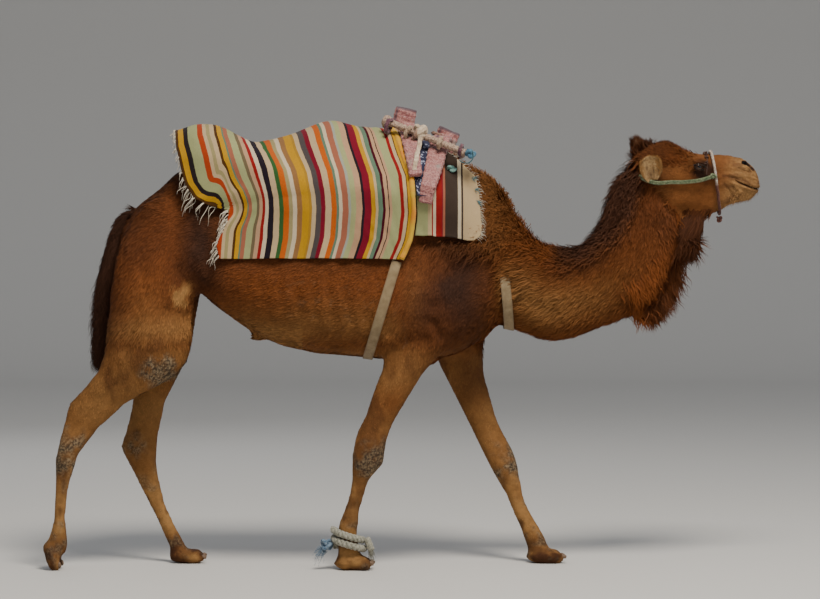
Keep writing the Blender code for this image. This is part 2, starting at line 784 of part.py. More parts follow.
def build_feet():
    spots = {
        "foreleg_right": (-0.130, -FOOT_SPREAD, 0.034, -4),
        "foreleg_left": (0.775, FOOT_SPREAD, 0.034, 4),
        "hindleg_left": (-0.936, FOOT_SPREAD, 0.034, 4),
        "hindleg_right": (-1.584, -FOOT_SPREAD, 0.028, 0),
    }
    for name, (x, y, z, heading) in spots.items():
        leg = bpy.data.objects[name]
        pitch = 60 if name == "hindleg_right" else 10
        for side, word in ((-1, "outer"), (1, "inner")):
            if y > 0:
                word = "inner" if side < 0 else "outer"
            drift = 0.035 * math.tan(math.radians(heading))
            place = (x - side * drift, y + side * 0.040, z)
            toenail("toenail_" + name + "_" + word, place, leg, pitch)


# Gear that is fitted to the body


def surface_tree(objects):
    # One searchable surface over all the objects.
    form = bmesh.new()
    for obj in objects:
        form.from_mesh(obj.data)
    tree = BVHTree.FromBMesh(form)
    form.free()
    return tree


def reach(tree, origin, way, span=1.2):
    # Distance from the origin to the outermost surface met along the way.
    start = origin + way * span
    hit = tree.ray_cast(start, -way, span)
    return 0.0 if hit[0] is None else span - hit[3]


def ring_ways(count, tilt=0.0, start=0.0, stop=360.0):
    # Directions around the body in an upright plane that is tilted about Y. 0 is straight up
    # and 90 is the left side.
    turns = np.radians(np.linspace(start, stop, count, endpoint=(stop - start) < 359.9))
    lean = math.radians(tilt)
    up = Vector((math.sin(lean), 0, math.cos(lean)))
    return [Vector((0, 1, 0)) * math.sin(t) + up * math.cos(t) for t in turns]


def taut(distances, ways, closed):
    # Distances round one section pulled out to the straight lines of a taut cloth.
    pull = np.array(distances, float)
    count = len(pull)
    flat = np.array([[w.y, math.copysign(math.hypot(w.x, w.z), w.z)] for w in ways])
    for _ in range(40):
        points = flat * pull[:, None]
        before = np.roll(points, 1, axis=0)
        after = np.roll(points, -1, axis=0)
        span = after - before
        cross = before[:, 0] * span[:, 1] - before[:, 1] * span[:, 0]
        turn = flat[:, 0] * span[:, 1] - flat[:, 1] * span[:, 0]
        chord = cross / np.where(np.abs(turn) < 1e-9, 1e-9, turn)
        if not closed:
            chord[0] = chord[-1] = 0
        grown = np.maximum(pull, np.where(chord < pull * 1.6, chord, pull))
        if np.max(np.abs(grown - pull)) < 1e-5:
            break
        pull = grown
    return pull[:count]


def widest_near(field, rounds=1):
    # Each value is replaced by the largest among its neighbours.
    for _ in range(rounds):
        padded = np.pad(field, 1, mode="edge")
        rows, columns = field.shape
        stack = [padded[i : i + rows, j : j + columns] for i in range(3) for j in range(3)]
        field = np.max(stack, axis=0)
    return field


def sheet_solid(inner, ways, thickness, closed=False):
    # A solid between the grid of inner points and the same grid pushed out along the ways.
    outer = inner + ways * thickness
    rows, columns = inner.shape[:2]
    points = np.vstack([inner.reshape(-1, 3), outer.reshape(-1, 3)])
    lift = rows * columns
    faces = []
    wrap = columns if closed else columns - 1
    for i in range(rows - 1):
        for j in range(wrap):
            k = (j + 1) % columns
            a, b, c, d = i * columns + j, i * columns + k, (i + 1) * columns + k, (i + 1) * columns + j
            faces.append((a, b, c, d))
            faces.append((a + lift, d + lift, c + lift, b + lift))
    for i, flip in ((0, 0), (rows - 1, 1)):
        for j in range(wrap):
            k = (j + 1) % columns
            a, b = i * columns + j, i * columns + k
            faces.append((a, a + lift, b + lift, b) if flip else (a, b, b + lift, a + lift))
    if not closed:
        for j in (0, columns - 1):
            for i in range(rows - 1):
                a, b = i * columns + j, (i + 1) * columns + j
                faces.append((a, b, b + lift, a + lift))
    return mesh_from(points, faces)


def draped(tree, rows, columns, front_edge, rear_edge, hem_angle, offset, thickness):
    # A cloth over the back. Rows run from the front edge to the rear edge and columns from the
    # right hem (-1) over the top to the left hem (1). The edges give x for a column.
    fine = 3
    across = np.linspace(-1, 1, (columns - 1) * fine + 1)
    down = np.linspace(0, 1, (rows - 1) * fine + 1)
    field = np.zeros((len(down), len(across)))
    place = np.zeros((len(down), len(across)))
    angles = [math.radians(v * hem_angle(v)) for v in across]
    ways = [Vector((0, math.sin(t), math.cos(t))) for t in angles]
    for j, v in enumerate(across):
        place[:, j] = front_edge(v) + (rear_edge(v) - front_edge(v)) * down
    for i in range(len(down)):
        for j in range(len(across)):
            field[i, j] = reach(tree, Vector((place[i, j], 0, DRAPE_AXIS)), ways[j])
    field = widest_near(field, 2)
    for i in range(len(down)):
        field[i] = taut(field[i], ways, closed=False)
    coarse = field[::fine, ::fine] + offset
    spread = place[::fine, ::fine]
    out = np.array([[w.x, w.y, w.z] for w in ways[::fine]])
    ways_grid = np.broadcast_to(out, (rows, columns, 3))
    inner = ways_grid * coarse[:, :, None]
    inner = inner + np.stack([spread, np.zeros_like(spread), np.full_like(spread, DRAPE_AXIS)], -1)
    return sheet_solid(inner, ways_grid, thickness)


# Where along a side bar, and how thick
BAR_SHAPE = [(0.0, 0.006), (0.015, 0.026), (0.055, 0.030), (0.09, 0.024), (0.12, BAR_RADIUS)]
BAR_SHAPE += [(0.5, BAR_RADIUS), (0.985, BAR_RADIUS), (1.0, 0.011)]


def from_table(table):
    where = [row[0] for row in table]
    value = [row[1] for row in table]
    return lambda v: float(np.interp(v, where, value))


blanket_front = from_table(
    [(-1.0, 0.005), (-0.8, 0.045), (-0.6, 0.062), (-0.4, 0.050), (-0.2, 0.000), (0.0, -0.045)]
    + [(0.2, 0.000), (0.4, 0.050), (0.6, 0.062), (0.8, 0.045), (1.0, 0.005)]
)
blanket_rear = from_table(
    [(-1.0, -0.81), (-0.70, -0.84), (-0.60, -0.88), (-0.50, -0.945), (-0.36, -1.01), (-0.2, -1.05)]
    + [(0.0, -1.065), (0.25, -1.05), (0.5, -1.00), (1.0, -0.93)]
)
blanket_hem = from_table([(-1.0, 82.0), (-0.6, 84.0), (0.0, 84.0), (0.6, 84.0), (1.0, 82.0)])
cloth_front = from_table(
    [(-1.0, 0.34), (-0.8, 0.375), (-0.45, 0.36), (-0.2, 0.22), (0.0, 0.16), (0.2, 0.22)]
    + [(0.45, 0.36), (0.8, 0.375), (1.0, 0.34)]
)
cloth_hem = from_table([(-1.0, 62.0), (0.0, 62.0), (1.0, 62.0)])


def cloth_rear(v):
    # The front cloth meets the blanket's front edge at the same angle round the body.
    angle = v * cloth_hem(v)
    return blanket_front(max(-1.0, min(1.0, angle / 84.0))) + 0.006


def saddle_pad():
    # A stuffed roll that lies round the hump like a horseshoe.
    half_path = [
        (0.190, -0.205, 1.745, 0.036),
        (0.080, -0.222, 1.770, 0.046),
        (-0.150, -0.232, 1.790, 0.052),
        (-0.400, -0.228, 1.800, 0.055),
        (-0.620, -0.205, 1.830, 0.060),
        (-0.790, -0.150, 1.905, 0.070),
        (-0.900, -0.075, 1.972, 0.080),
    ]
    back = [(-0.938, 0.0, 1.990, 0.083)]
    rows = np.array(half_path + back + [(x, -y, z, r) for x, y, z, r in half_path[::-1]])
    rows = curve_through(rows, 2)
    return tube(rows[:, :3], rows[:, 3], 7)


def tube(path, radii, sides, closed=False):
    # A round tube along the path, its sections turned as little as possible.
    path = np.asarray(path, float)
    count = len(path)
    if closed:
        along_path = np.roll(path, -1, axis=0) - np.roll(path, 1, axis=0)
    else:
        along_path = np.gradient(path, axis=0)
    along_path /= np.linalg.norm(along_path, axis=1)[:, None]
    radii = np.broadcast_to(radii, (count,))
    axis = np.array([0.0, 0.0, 1.0])
    if abs(along_path[0].dot(axis)) > 0.9:
        axis = np.array([1.0, 0.0, 0.0])
    rings = []
    turn = np.linspace(0, 2 * math.pi, sides, endpoint=False)
    for point, way, radius in zip(path, along_path, radii):
        axis = axis - way * axis.dot(way)
        axis /= np.linalg.norm(axis)
        other = np.cross(way, axis)
        ring = np.cos(turn)[:, None] * axis + np.sin(turn)[:, None] * other
        rings.append(point + ring * radius)
    if not closed:
        return skinned(rings)
    rings.append(rings[0])
    points = np.vstack(rings[:-1])
    faces = []
    for i in range(count):
        for j in range(sides):
            k, n = (j + 1) % sides, (i + 1) % count
            faces.append((i * sides + j, i * sides + k, n * sides + k, n * sides + j))
    return mesh_from(points, faces)


def ring_path(tree, centre, count, tilt, clearance):
    # A closed loop of points round the surface, kept clear of it and pulled taut.
    ways = ring_ways(count * 3, tilt)
    field = np.array([[reach(tree, Vector(centre), way) for way in ways]])
    pulled = taut(widest_near(np.repeat(field, 3, axis=0))[1], ways, closed=True)
    return [Vector(centre) + ways[i] * (pulled[i] + clearance) for i in range(0, count * 3, 3)]


def band(tree, top, bottom, width, count, offset, thickness, start=0.0, stop=360.0, span=1.2):
    # A flat strap round the body in the plane through the top and bottom points.
    top, bottom = Vector(top), Vector(bottom)
    centre = (top + bottom) / 2
    lean = (top - bottom).normalized()
    tilt = math.degrees(math.atan2(lean.x, lean.z))
    side = Vector((lean.z, 0, -lean.x))
    closed = stop - start > 359.9
    fine = 3
    total = count * fine if closed else (count - 1) * fine + 1
    ways = ring_ways(total, tilt, start, stop)
    out = np.array([[w.x, w.y, w.z] for w in ways[::fine]])
    inner = []
    for edge in (-0.5, 0.5):
        rows = []
        for step in (edge, edge * 0.5, edge * 0.75):
            origin = centre + side * width * step
            rows.append([reach(tree, origin, way, span) for way in ways])
        field = widest_near(np.array(rows), 1)[0]
        pulled = field if closed else taut(field, ways, closed)
        origin = np.array(centre + side * width * edge)
        inner.append(origin + out * (pulled[::fine] + offset)[:, None])
    ways_grid = np.broadcast_to(out, (2, len(out), 3))
    return sheet_solid(np.array(inner), ways_grid, thickness, closed)


def swept_board(path, widths, thickness):
    # A board along a path in a plane across the body. Its width is fore and aft.
    path = np.asarray(path, float)
    rings = []
    directions = np.gradient(path, axis=0)
    for point, way, width in zip(path, directions, widths):
        way = way / np.linalg.norm(way)
        wide = np.array([1.0, 0.0, 0.0])
        wide -= way * wide.dot(way)
        wide /= np.linalg.norm(wide)
        flat = np.cross(way, wide)
        corners = [(1, 1), (-1, 1), (-1, -1), (1, -1)]
        rings.append(
            [point + wide * width / 2 * a + flat * thickness / 2 * b for a, b in corners]
        )
    return skinned([np.array(ring) for ring in rings])


def saddle_arch(name, tree, places, head_place, head_size, pitch):
    # A bent board that straddles the back, with a squared head above its crown. Places are
    # (x, angle from the top, width) from the right foot to the crown.
    mirrored = [(x, -turn, width) for x, turn, width in places[-2::-1]]
    both = curve_through(places + mirrored, 2)
    path = []
    for x, turn, width in both:
        way = Vector((0, -math.sin(math.radians(turn)), math.cos(math.radians(turn))))
        origin = Vector((x, 0, DRAPE_AXIS))
        nearby = [reach(tree, origin + Vector((step, 0, 0)), way) for step in (-0.045, 0, 0.045)]
        path.append(origin + way * (max(nearby) + BOARD_THICKNESS / 2 + 0.010))
    arch = shown(swept_board(path, both[:, 2], BOARD_THICKNESS), name, WRAPPED_BOARD)
    boolean(arch, helper(block(head_size, head_place, pitch=pitch), name + "_head"), "UNION")
    edge = arch.modifiers.new("edge", "BEVEL")
    edge.width = 0.005
    edge.segments = 1
    edge.limit_method = "ANGLE"
    edge.angle_limit = math.radians(60)
    return settle(arch)


def clear_line(tree, start, stop, clearance):
    # Two (x, angle, distance) ends moved outward alike until the line between them is clear.
    def point(x, turn, distance):
        turn = math.radians(turn)
        way = Vector((0, -math.sin(turn), math.cos(turn)))
        return Vector((x, 0, DRAPE_AXIS)) + way * distance

    lift = 0.0
    for _ in range(6):
        a = point(start[0], start[1], start[2] + lift)
        b = point(stop[0], stop[1], stop[2] + lift)
        worst = 0.0
        for t in np.linspace(0, 1, 40):
            spot = a.lerp(b, t)
            out = Vector((0, spot.y, spot.z - DRAPE_AXIS))
            need = reach(tree, Vector((spot.x, 0, DRAPE_AXIS)), out.normalized()) + clearance
            worst = max(worst, need - out.length)
        if worst < 1e-5:
            break
        lift += worst
    return a, b


def named(*names):
    return [bpy.data.objects[name] for name in names]


def build_covers():
    pad = shown(saddle_pad(), "saddle_pad", PAD_CLOTH)
    fitted(pad, named("trunk"), 0.002, "MANIFOLD")
    tree = surface_tree(named("trunk", "neck", "hindleg_right", "hindleg_left", "saddle_pad"))
    cloth = draped(tree, 6, 13, cloth_front, cloth_rear, cloth_hem, 0.006, CLOTH_THICKNESS)
    shown(cloth, "front_cloth", STRIPED_WOOL)
    cover = draped(tree, 12, 17, blanket_front, blanket_rear, blanket_hem, 0.010, BLANKET_THICKNESS)
    shown(cover, "blanket", STRIPED_WOOL)


def build_arches():
    tree = surface_tree(named("trunk", "neck", "saddle_pad", "front_cloth", "blanket"))
    saddle_arch(
        "saddle_arch_rear",
        tree,
        [(0.068, 36, 0.060), (0.054, 24, 0.066), (0.036, 12, 0.074), (0.026, 0, 0.080)],
        (0.014, 0, 2.103),
        (0.100, 0.050, 0.100),
        14,
    )
    saddle_arch(
        "saddle_arch_front",
        tree,
        [(0.112, 46, 0.060), (0.138, 35, 0.074), (0.165, 20, 0.086), (0.196, 0, 0.090)],
        (0.208, 0, 2.002),
        (0.105, 0.055, 0.104),
        22,
    )
    for arch in named("saddle_arch_rear", "saddle_arch_front"):
        fitted(arch, named("front_cloth", "blanket", "trunk", "neck"), 0.001)


def build_side_bars():
    # A wrapped stick on each side ties the two arches together. Its rear end is a knot.
    tree = surface_tree(named("saddle_arch_rear", "saddle_arch_front", "front_cloth", "blanket", "trunk"))
    a, b = clear_line(tree, (-0.085, 9, 0.620), (0.300, 24, 0.500), BAR_RADIUS + 0.002)
    for side, word in ((1, "right"), (-1, "left")):
        ends = [Vector((p.x, p.y * side, p.z)) for p in (a, b)]
        rows = [(*ends[0].lerp(ends[1], t), r) for t, r in BAR_SHAPE]
        rows = np.array(rows)
        mesh = tube(rows[:, :3], rows[:, 3], 8)
        bar = shown(mesh, "side_bar_" + word, COTTON)
        fitted(bar, named("saddle_arch_rear", "saddle_arch_front", "blanket"))
    return a, b


def build_ties(bar_start, bar_stop):
    tree = surface_tree(named("front_cloth", "trunk", "blanket", "saddle_arch_rear"))
    strip = []
    for x, turn in ((0.052, 40), (0.066, 32), (0.080, 24)):
        way = Vector((0, -math.sin(math.radians(turn)), math.cos(math.radians(turn))))
        origin = Vector((x, 0, DRAPE_AXIS))
        strip.append(origin + way * (reach(tree, origin, way) + 0.012))
    bar = bpy.data.objects["side_bar_right"]
    crown = bar_start.lerp(bar_stop, 0.46) + Vector((0, -0.006, 0.006))
    strip.append(crown)
    mesh = swept_board(strip, [0.024, 0.022, 0.022, 0.022], 0.010)
    tie = shown(mesh, "tie_cloth", COTTON)
    knot = helper(ellipsoid(tuple(crown), (0.030, 0.030, 0.040), segments=10), "knot")
    boolean(tie, knot, "UNION")
    fitted(tie, named("side_bar_right", "saddle_arch_rear", "saddle_arch_front"), 0.001)
    rag = ellipsoid(tuple(bar_stop + Vector((0.020, 0, -0.002))), (0.024, 0.022, 0.030), segments=8)
    shown(rag, "rag_blue", COTTON)
    fitted(bpy.data.objects["rag_blue"], [bar])
    tree = surface_tree(named("front_cloth", "trunk"))
    way = Vector((0, -math.sin(math.radians(20)), math.cos(math.radians(20))))
    origin = Vector((0.236, 0, DRAPE_AXIS))
    spot = origin + way * (reach(tree, origin, way) + 0.018)
    teal = shown(ellipsoid(tuple(spot), (0.028, 0.018, 0.018), segments=8), "rag_teal", COTTON)
    fitted(teal, named("front_cloth", "saddle_arch_front", "side_bar_right"))


def build_straps():
    tree = surface_tree(named("trunk"))
    girth = band(tree, (0.110, 0, 1.860), (-0.158, 0, 0.975), STRAP_WIDTH, 22, 0.003, 0.004, 85, 275, 0.60)
    shown(girth, "girth", WEBBING)
    tree = surface_tree(named("trunk", "neck"))
    breast = band(tree, (0.430, 0, 1.860), (0.503, 0, 1.140), STRAP_WIDTH, 28, 0.009, 0.005)
    shown(breast, "breast_strap", WEBBING)


def build_halter():
    tree = surface_tree(named("head", "neck"))
    loop = ring_path(tree, (1.473, 0, 1.800), 20, -8.5, NOSEBAND_RADIUS + 0.003)
    noseband = shown(tube(loop, NOSEBAND_RADIUS, 6, closed=True), "noseband", BROWN_ROPE)
    fitted(noseband, named("head"))
    # The cheek rope runs back below the eyes and up behind the ears.
    side_path = [(1.448, 1.829), (1.390, 1.812), (1.320, 1.804)]
    side_path += [(1.250, 1.803), (1.190, 1.796), (1.130, 1.812)]
    cheek = []
    for x, z in side_path:
        distance = reach(tree, Vector((x, 0, z)), Vector((0, -1, 0)))
        cheek.append(Vector((x, -distance - ROPE_RADIUS - 0.005, z)))
    for turn in (60, 40, 18):
        way = Vector((-0.35, -math.sin(math.radians(turn)), math.cos(math.radians(turn)))).normalized()
        origin = Vector((1.110, 0, 1.830))
        cheek.append(origin + way * (reach(tree, origin, way) + ROPE_RADIUS + 0.006))
    over = cheek + [Vector((p.x, -p.y, p.z)) for p in cheek[::-1]]
    smooth = curve_through([tuple(p) for p in over], 2)
    rope = shown(tube(smooth, ROPE_RADIUS, 6), "halter_rope", GREEN_ROPE)
    fitted(rope, named("ear_right", "ear_left", "neck", "head"))
    lowest = min(loop, key=lambda p: p.z)
    drop = NOSEBAND_RADIUS + KNOT_RADIUS + GAP
    knot = ellipsoid((lowest.x, 0, lowest.z - drop), (KNOT_RADIUS,) * 3, segments=8)
    shown(knot, "chin_knot", BROWN_ROPE)


def build_hobble():
    # A rope wound twice round the right fore pastern, with a knot behind and a loose end before.
    leg = bpy.data.objects["foreleg_right"]
    tree = surface_tree([leg])
    path = []
    for turn in np.linspace(0.0, 1.95, 22):
        angle = turn * 2 * math.pi
        way = Vector((-math.cos(angle), -math.sin(angle), 0))
        drop = 0.172 - 0.040 * turn + 0.016 * math.cos(angle)
        origin = Vector((-0.245, -FOOT_SPREAD, drop))
        around = [reach(tree, origin + Vector((0, 0, lift)), way, 0.15) for lift in (-0.02, 0, 0.02)]
        distance = max(around + [0.050])
        path.append(origin + way * (distance + HOBBLE_RADIUS + 0.008))
    smooth = np.array([tuple(p) for p in path])
    smooth[1:-1] = (smooth[:-2] + 2 * smooth[1:-1] + smooth[2:]) / 4
    rope = shown(tube(smooth, HOBBLE_RADIUS, 6), "hobble_rope", GREY_ROPE)
    end = helper(ellipsoid((-0.146, -0.158, 0.126), (0.027, 0.024, 0.046), pitch=-24, segments=8), "end")
    boolean(rope, end, "UNION")
    fitted(rope, [leg])
    knot = ellipsoid((-0.345, -0.150, 0.118), (0.030, 0.026, 0.040), pitch=12, segments=8)
    fitted(shown(knot, "hobble_knot", GREY_ROPE), [rope, leg])


def build_tail():
    tail = thinned(shown(tail_form(), "tail", DARK_HAIR), FACES["tail"])
    fitted(tail, named("trunk", "hindleg_right", "hindleg_left"))


build_flesh()
build_head_parts()
build_tail()
build_feet()
build_covers()
build_arches()
build_ties(*build_side_bars())
build_straps()
build_halter()
build_hobble()
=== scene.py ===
import math

import bmesh
import bpy
import numpy as np
from mathutils import Matrix, Vector
from mathutils.bvhtree import BVHTree


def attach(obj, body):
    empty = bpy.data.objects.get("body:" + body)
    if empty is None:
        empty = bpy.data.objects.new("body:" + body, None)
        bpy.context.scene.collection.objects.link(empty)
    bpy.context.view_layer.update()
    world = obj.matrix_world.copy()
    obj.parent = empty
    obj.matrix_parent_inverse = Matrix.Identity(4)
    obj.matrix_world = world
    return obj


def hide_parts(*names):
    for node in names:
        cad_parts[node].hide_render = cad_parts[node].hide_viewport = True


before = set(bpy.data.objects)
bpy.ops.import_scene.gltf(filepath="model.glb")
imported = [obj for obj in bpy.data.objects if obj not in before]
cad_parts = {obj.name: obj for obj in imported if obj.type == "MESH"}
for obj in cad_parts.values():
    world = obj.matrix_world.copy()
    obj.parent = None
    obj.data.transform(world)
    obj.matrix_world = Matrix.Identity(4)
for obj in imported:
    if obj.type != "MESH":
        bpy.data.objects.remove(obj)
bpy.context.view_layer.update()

up = np.array([0.0, 0.0, 1.0])
fleshNodes = ["head", "neck", "trunk", "foreleg_right", "foreleg_left", "hindleg_right", "hindleg_left"]
random = np.random.default_rng(7)
quickShare = 1.0


def jitter(*shape):
    # random offsets from -0.5 to 0.5
    return random.random(shape) - 0.5


def leaning(way, spread):
    # a flow for long hair: one way for all of it, with this much disorder
    return lambda p: unit(np.array(way) + jitter(len(p), 3) * spread)


def constant(value):
    return lambda p: np.full(len(p), value)


view = {
    "place": (0.042, -12.5, 1.534),
    "target": (0.042, 0.0, 1.255),
    "lens": 116.8,
    "floor": (0.62, 0.60, 0.57),
    "sky": (0.80, 0.85, 0.92),
    "skyStrength": 0.40,
    "keyPower": 980.0,
    "fillPower": 70.0,
}


def addCamera():
    data = bpy.data.cameras.new("camera")
    data.lens = view["lens"]
    data.sensor_width = 36.0
    data.clip_end = 200.0
    camera = bpy.data.objects.new("camera", data)
    bpy.context.scene.collection.objects.link(camera)
    camera.location = view["place"]
    aim = Vector(view["target"]) - Vector(view["place"])
    camera.rotation_euler = aim.to_track_quat("-Z", "Y").to_euler()
    bpy.context.scene.camera = camera


def addLight(name, place, target, size, power, colour):
    data = bpy.data.lights.new(name, "AREA")
    data.shape = "DISK"
    data.size = size
    data.energy = power
    data.color = colour
    light = bpy.data.objects.new(name, data)
    bpy.context.scene.collection.objects.link(light)
    light.location = place
    aim = Vector(target) - Vector(place)
    light.rotation_euler = aim.to_track_quat("-Z", "Y").to_euler()


def addStage():
    world = bpy.data.worlds.new("studio")
    bpy.context.scene.world = world
    world.use_nodes = True
    glow = world.node_tree.nodes["Background"]
    glow.inputs["Color"].default_value = (*view["sky"], 1.0)
    glow.inputs["Strength"].default_value = view["skyStrength"]
    addLight("key", (1.4, -4.8, 8.6), (0.0, 0.0, 1.2), 3.2, view["keyPower"], (1.0, 0.94, 0.84))
    addLight("fill", (7.0, -5.0, 3.0), (0.3, 0.0, 1.2), 5.0, view["fillPower"], (0.90, 0.95, 1.0))
    addLight("back", (-3.0, 7.0, 5.0), (0.0, 0.0, 1.2), 5.0, view["fillPower"], (0.95, 0.97, 1.0))
    # a floor that turns up into a backdrop along a quarter round
    turn = np.linspace(0, math.pi / 2, 12)
    profile = [(-30.0, 0.0)] + [(16.0 + 4.0 * math.sin(t), 4.0 - 4.0 * math.cos(t)) for t in turn]
    profile += [(20.0, 18.0)]
    points = [(x, y, z) for x in (-30.0, 30.0) for y, z in profile]
    count = len(profile)
    faces = [(i, i + count, i + count + 1, i + 1) for i in range(count - 1)]
    mesh = bpy.data.meshes.new("floor")
    mesh.from_pydata(points, [], faces)
    mesh.shade_smooth()
    floor = bpy.data.objects.new("floor", mesh)
    bpy.context.scene.collection.objects.link(floor)
    paint = bpy.data.materials.new("floorPaint")
    paint.use_nodes = True
    shader = paint.node_tree.nodes["Principled BSDF"]
    shader.inputs["Base Color"].default_value = (*view["floor"], 1.0)
    shader.inputs["Roughness"].default_value = 0.9
    mesh.materials.append(paint)


class Wire:
    # A socket of a shader tree. Sums and products of wires add Math nodes.
    def __init__(self, tree, socket=None):
        self.tree = tree
        self.socket = socket

    def node(self, kind, settings=None, sockets=None, out=0):
        made = self.tree.nodes.new("ShaderNode" + kind)
        for name, value in (settings or {}).items():
            if name == "stops":
                ramp = made.color_ramp
                while len(ramp.elements) < len(value):
                    ramp.elements.new(1.0)
                for element, (place, colour) in zip(ramp.elements, value):
                    element.position = place
                for element, (place, colour) in zip(ramp.elements, value):
                    element.color = (*colour, 1.0)
            elif name == "interpolation":
                made.color_ramp.interpolation = value
            else:
                setattr(made, name, value)
        for name, value in (sockets or {}).items():
            target = made.inputs[name]
            if isinstance(value, Wire):
                self.tree.links.new(value.socket, target)
            elif hasattr(value, "__len__") and len(target.default_value) == 4:
                target.default_value = (*value[:3], 1.0)
            else:
                target.default_value = value
        return Wire(self.tree, made.outputs[out])

    def maths(self, operation, first, second=0.0, clamp=False):
        settings = {"operation": operation, "use_clamp": clamp}
        return self.node("Math", settings, {0: first, 1: second})

    def __add__(self, other):
        return self.maths("ADD", self, other)

    def __radd__(self, other):
        return self.maths("ADD", other, self)

    def __sub__(self, other):
        return self.maths("SUBTRACT", self, other)

    def __rsub__(self, other):
        return self.maths("SUBTRACT", other, self)

    def __mul__(self, other):
        return self.maths("MULTIPLY", self, other)

    def __rmul__(self, other):
        return self.maths("MULTIPLY", other, self)

    def clamped(self):
        return self.maths("ADD", self, 0.0, True)

    def power(self, exponent):
        return self.maths("POWER", self, exponent)

    def between(self, low, high):
        # 0 at low, 1 at high, straight in between and clamped
        sockets = {"Value": self, "From Min": low, "From Max": high}
        return self.node("MapRange", {"clamp": True}, sockets)

    def blend(self, first, second, kind="MIX"):
        # colours mixed by this factor
        settings = {"data_type": "RGBA", "blend_type": kind}
        return self.node("Mix", settings, {0: self, 6: first, 7: second}, 2)

    def split(self, vector):
        # the three parts of a vector
        parted = self.node("SeparateXYZ", {}, {0: vector}).socket.node
        return [Wire(self.tree, part) for part in parted.outputs]

    def attribute(self, name):
        return self.node("Attribute", {"attribute_name": name}, {}, 2)

    def shaded(self, colour, levels):
        # the colour times a level for each channel
        grey = self.node("CombineColor", {}, dict(enumerate(levels)))
        settings = {"data_type": "RGBA", "blend_type": "MULTIPLY"}
        return self.node("Mix", settings, {0: 1.0, 6: colour, 7: grey}, 2)

    def place(self):
        return self.node("TexCoord", {}, {}, 3)

    def uv(self, name):
        return self.node("UVMap", {"uv_map": name})

    def mapped(self, vector, scale, turn=(0.0, 0.0, 0.0), shift=(0.0, 0.0, 0.0)):
        sockets = {"Vector": vector, "Scale": scale, "Rotation": turn, "Location": shift}
        return self.node("Mapping", {}, sockets)

    def noise(self, vector, scale, detail=3.0, rough=0.55):
        sockets = {"Vector": vector, "Scale": scale, "Detail": detail, "Roughness": rough}
        return self.node("TexNoise", {}, sockets)

    def bump(self, height, distance, strength=1.0):
        sockets = {"Height": height, "Distance": distance, "Strength": strength}
        return self.node("Bump", {}, sockets)


def newMaterial(name, colour, rough, look=None, spec=0.5, sheen=0.0):
    # look(wire) gives a dictionary of Principled sockets that vary over the surface
    made = bpy.data.materials.new(name)
    made.use_nodes = True
    shader = made.node_tree.nodes["Principled BSDF"]
    shader.inputs["Base Color"].default_value = (*colour, 1.0)
    shader.inputs["Roughness"].default_value = rough
    shader.inputs["Specular IOR Level"].default_value = spec
    shader.inputs["Sheen Weight"].default_value = sheen
    shader.inputs["Sheen Roughness"].default_value = 0.5
    if look:
        for socket, wire in look(Wire(made.node_tree)).items():
            made.node_tree.links.new(wire.socket, shader.inputs[socket])
    return made


def triangulated(mesh):
    form = bmesh.new()
    form.from_mesh(mesh)
    bmesh.ops.triangulate(form, faces=form.faces)
    form.to_mesh(mesh)
    form.free()


def newObject(name, mesh, material=None):
    thing = bpy.data.objects.new(name, mesh)
    bpy.context.scene.collection.objects.link(thing)
    if material:
        mesh.materials.clear()
        mesh.materials.append(material)
    return thing


def arrayMesh(name, points, faces, smooth=True):
    # faces is one array of equal rows, or a list of such arrays
    groups = faces if isinstance(faces, list) else [faces]
    mesh = bpy.data.meshes.new(name)
    mesh.vertices.add(len(points))
    mesh.vertices.foreach_set("co", np.asarray(points, np.float32).ravel())
    corners = np.concatenate([g.ravel() for g in groups]).astype(np.int32)
    sizes = np.concatenate([np.full(len(g), g.shape[1]) for g in groups])
    starts = np.concatenate([[0], np.cumsum(sizes)[:-1]]).astype(np.int32)
    mesh.loops.add(len(corners))
    mesh.loops.foreach_set("vertex_index", corners)
    mesh.polygons.add(len(sizes))
    mesh.polygons.foreach_set("loop_start", starts)
    mesh.update(calc_edges=True)
    mesh.polygons.foreach_set("use_smooth", np.full(len(sizes), smooth))
    return mesh


def setUv(mesh, name, perVertex):
    layer = mesh.uv_layers.new(name=name)
    corner = np.zeros(len(mesh.loops), np.int32)
    mesh.loops.foreach_get("vertex_index", corner)
    layer.data.foreach_set("uv", np.asarray(perVertex, np.float32)[corner].ravel())


def setAttribute(mesh, name, values):
    layer = mesh.attributes.new(name, "FLOAT", "POINT")
    layer.data.foreach_set("value", np.asarray(values, np.float32))


def readPoints(mesh):
    points = np.zeros(len(mesh.vertices) * 3, np.float32)
    mesh.vertices.foreach_get("co", points)
    return points.reshape(-1, 3).astype(float)


def nodePoints(name):
    return readPoints(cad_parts[name].data)


def writePoints(mesh, points):
    mesh.vertices.foreach_set("co", np.asarray(points, np.float32).ravel())
    mesh.update()


def readNormals(mesh):
    normals = np.zeros(len(mesh.vertices) * 3, np.float32)
    mesh.vertices.foreach_get("normal", normals)
    return normals.reshape(-1, 3).astype(float)


def nodeMesh(names, grow=0.0):
    # welded copies of nodes in one mesh, each grown along its normals
    form = bmesh.new()
    for name in names:
        part = bmesh.new()
        part.from_mesh(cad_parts[name].data)
        bmesh.ops.remove_doubles(part, verts=part.verts, dist=0.00005)
        part.normal_update()
        for vert in part.verts:
            vert.co += vert.normal * grow
        mesh = bpy.data.meshes.new("copy")
        part.to_mesh(mesh)
        part.free()
        form.from_mesh(mesh)
    mesh = bpy.data.meshes.new("copies")
    form.to_mesh(mesh)
    form.free()
    return mesh


def applied(thing):
    graph = bpy.context.evaluated_depsgraph_get()
    mesh = bpy.data.meshes.new_from_object(thing.evaluated_get(graph))
    bpy.data.objects.remove(thing)
    return mesh


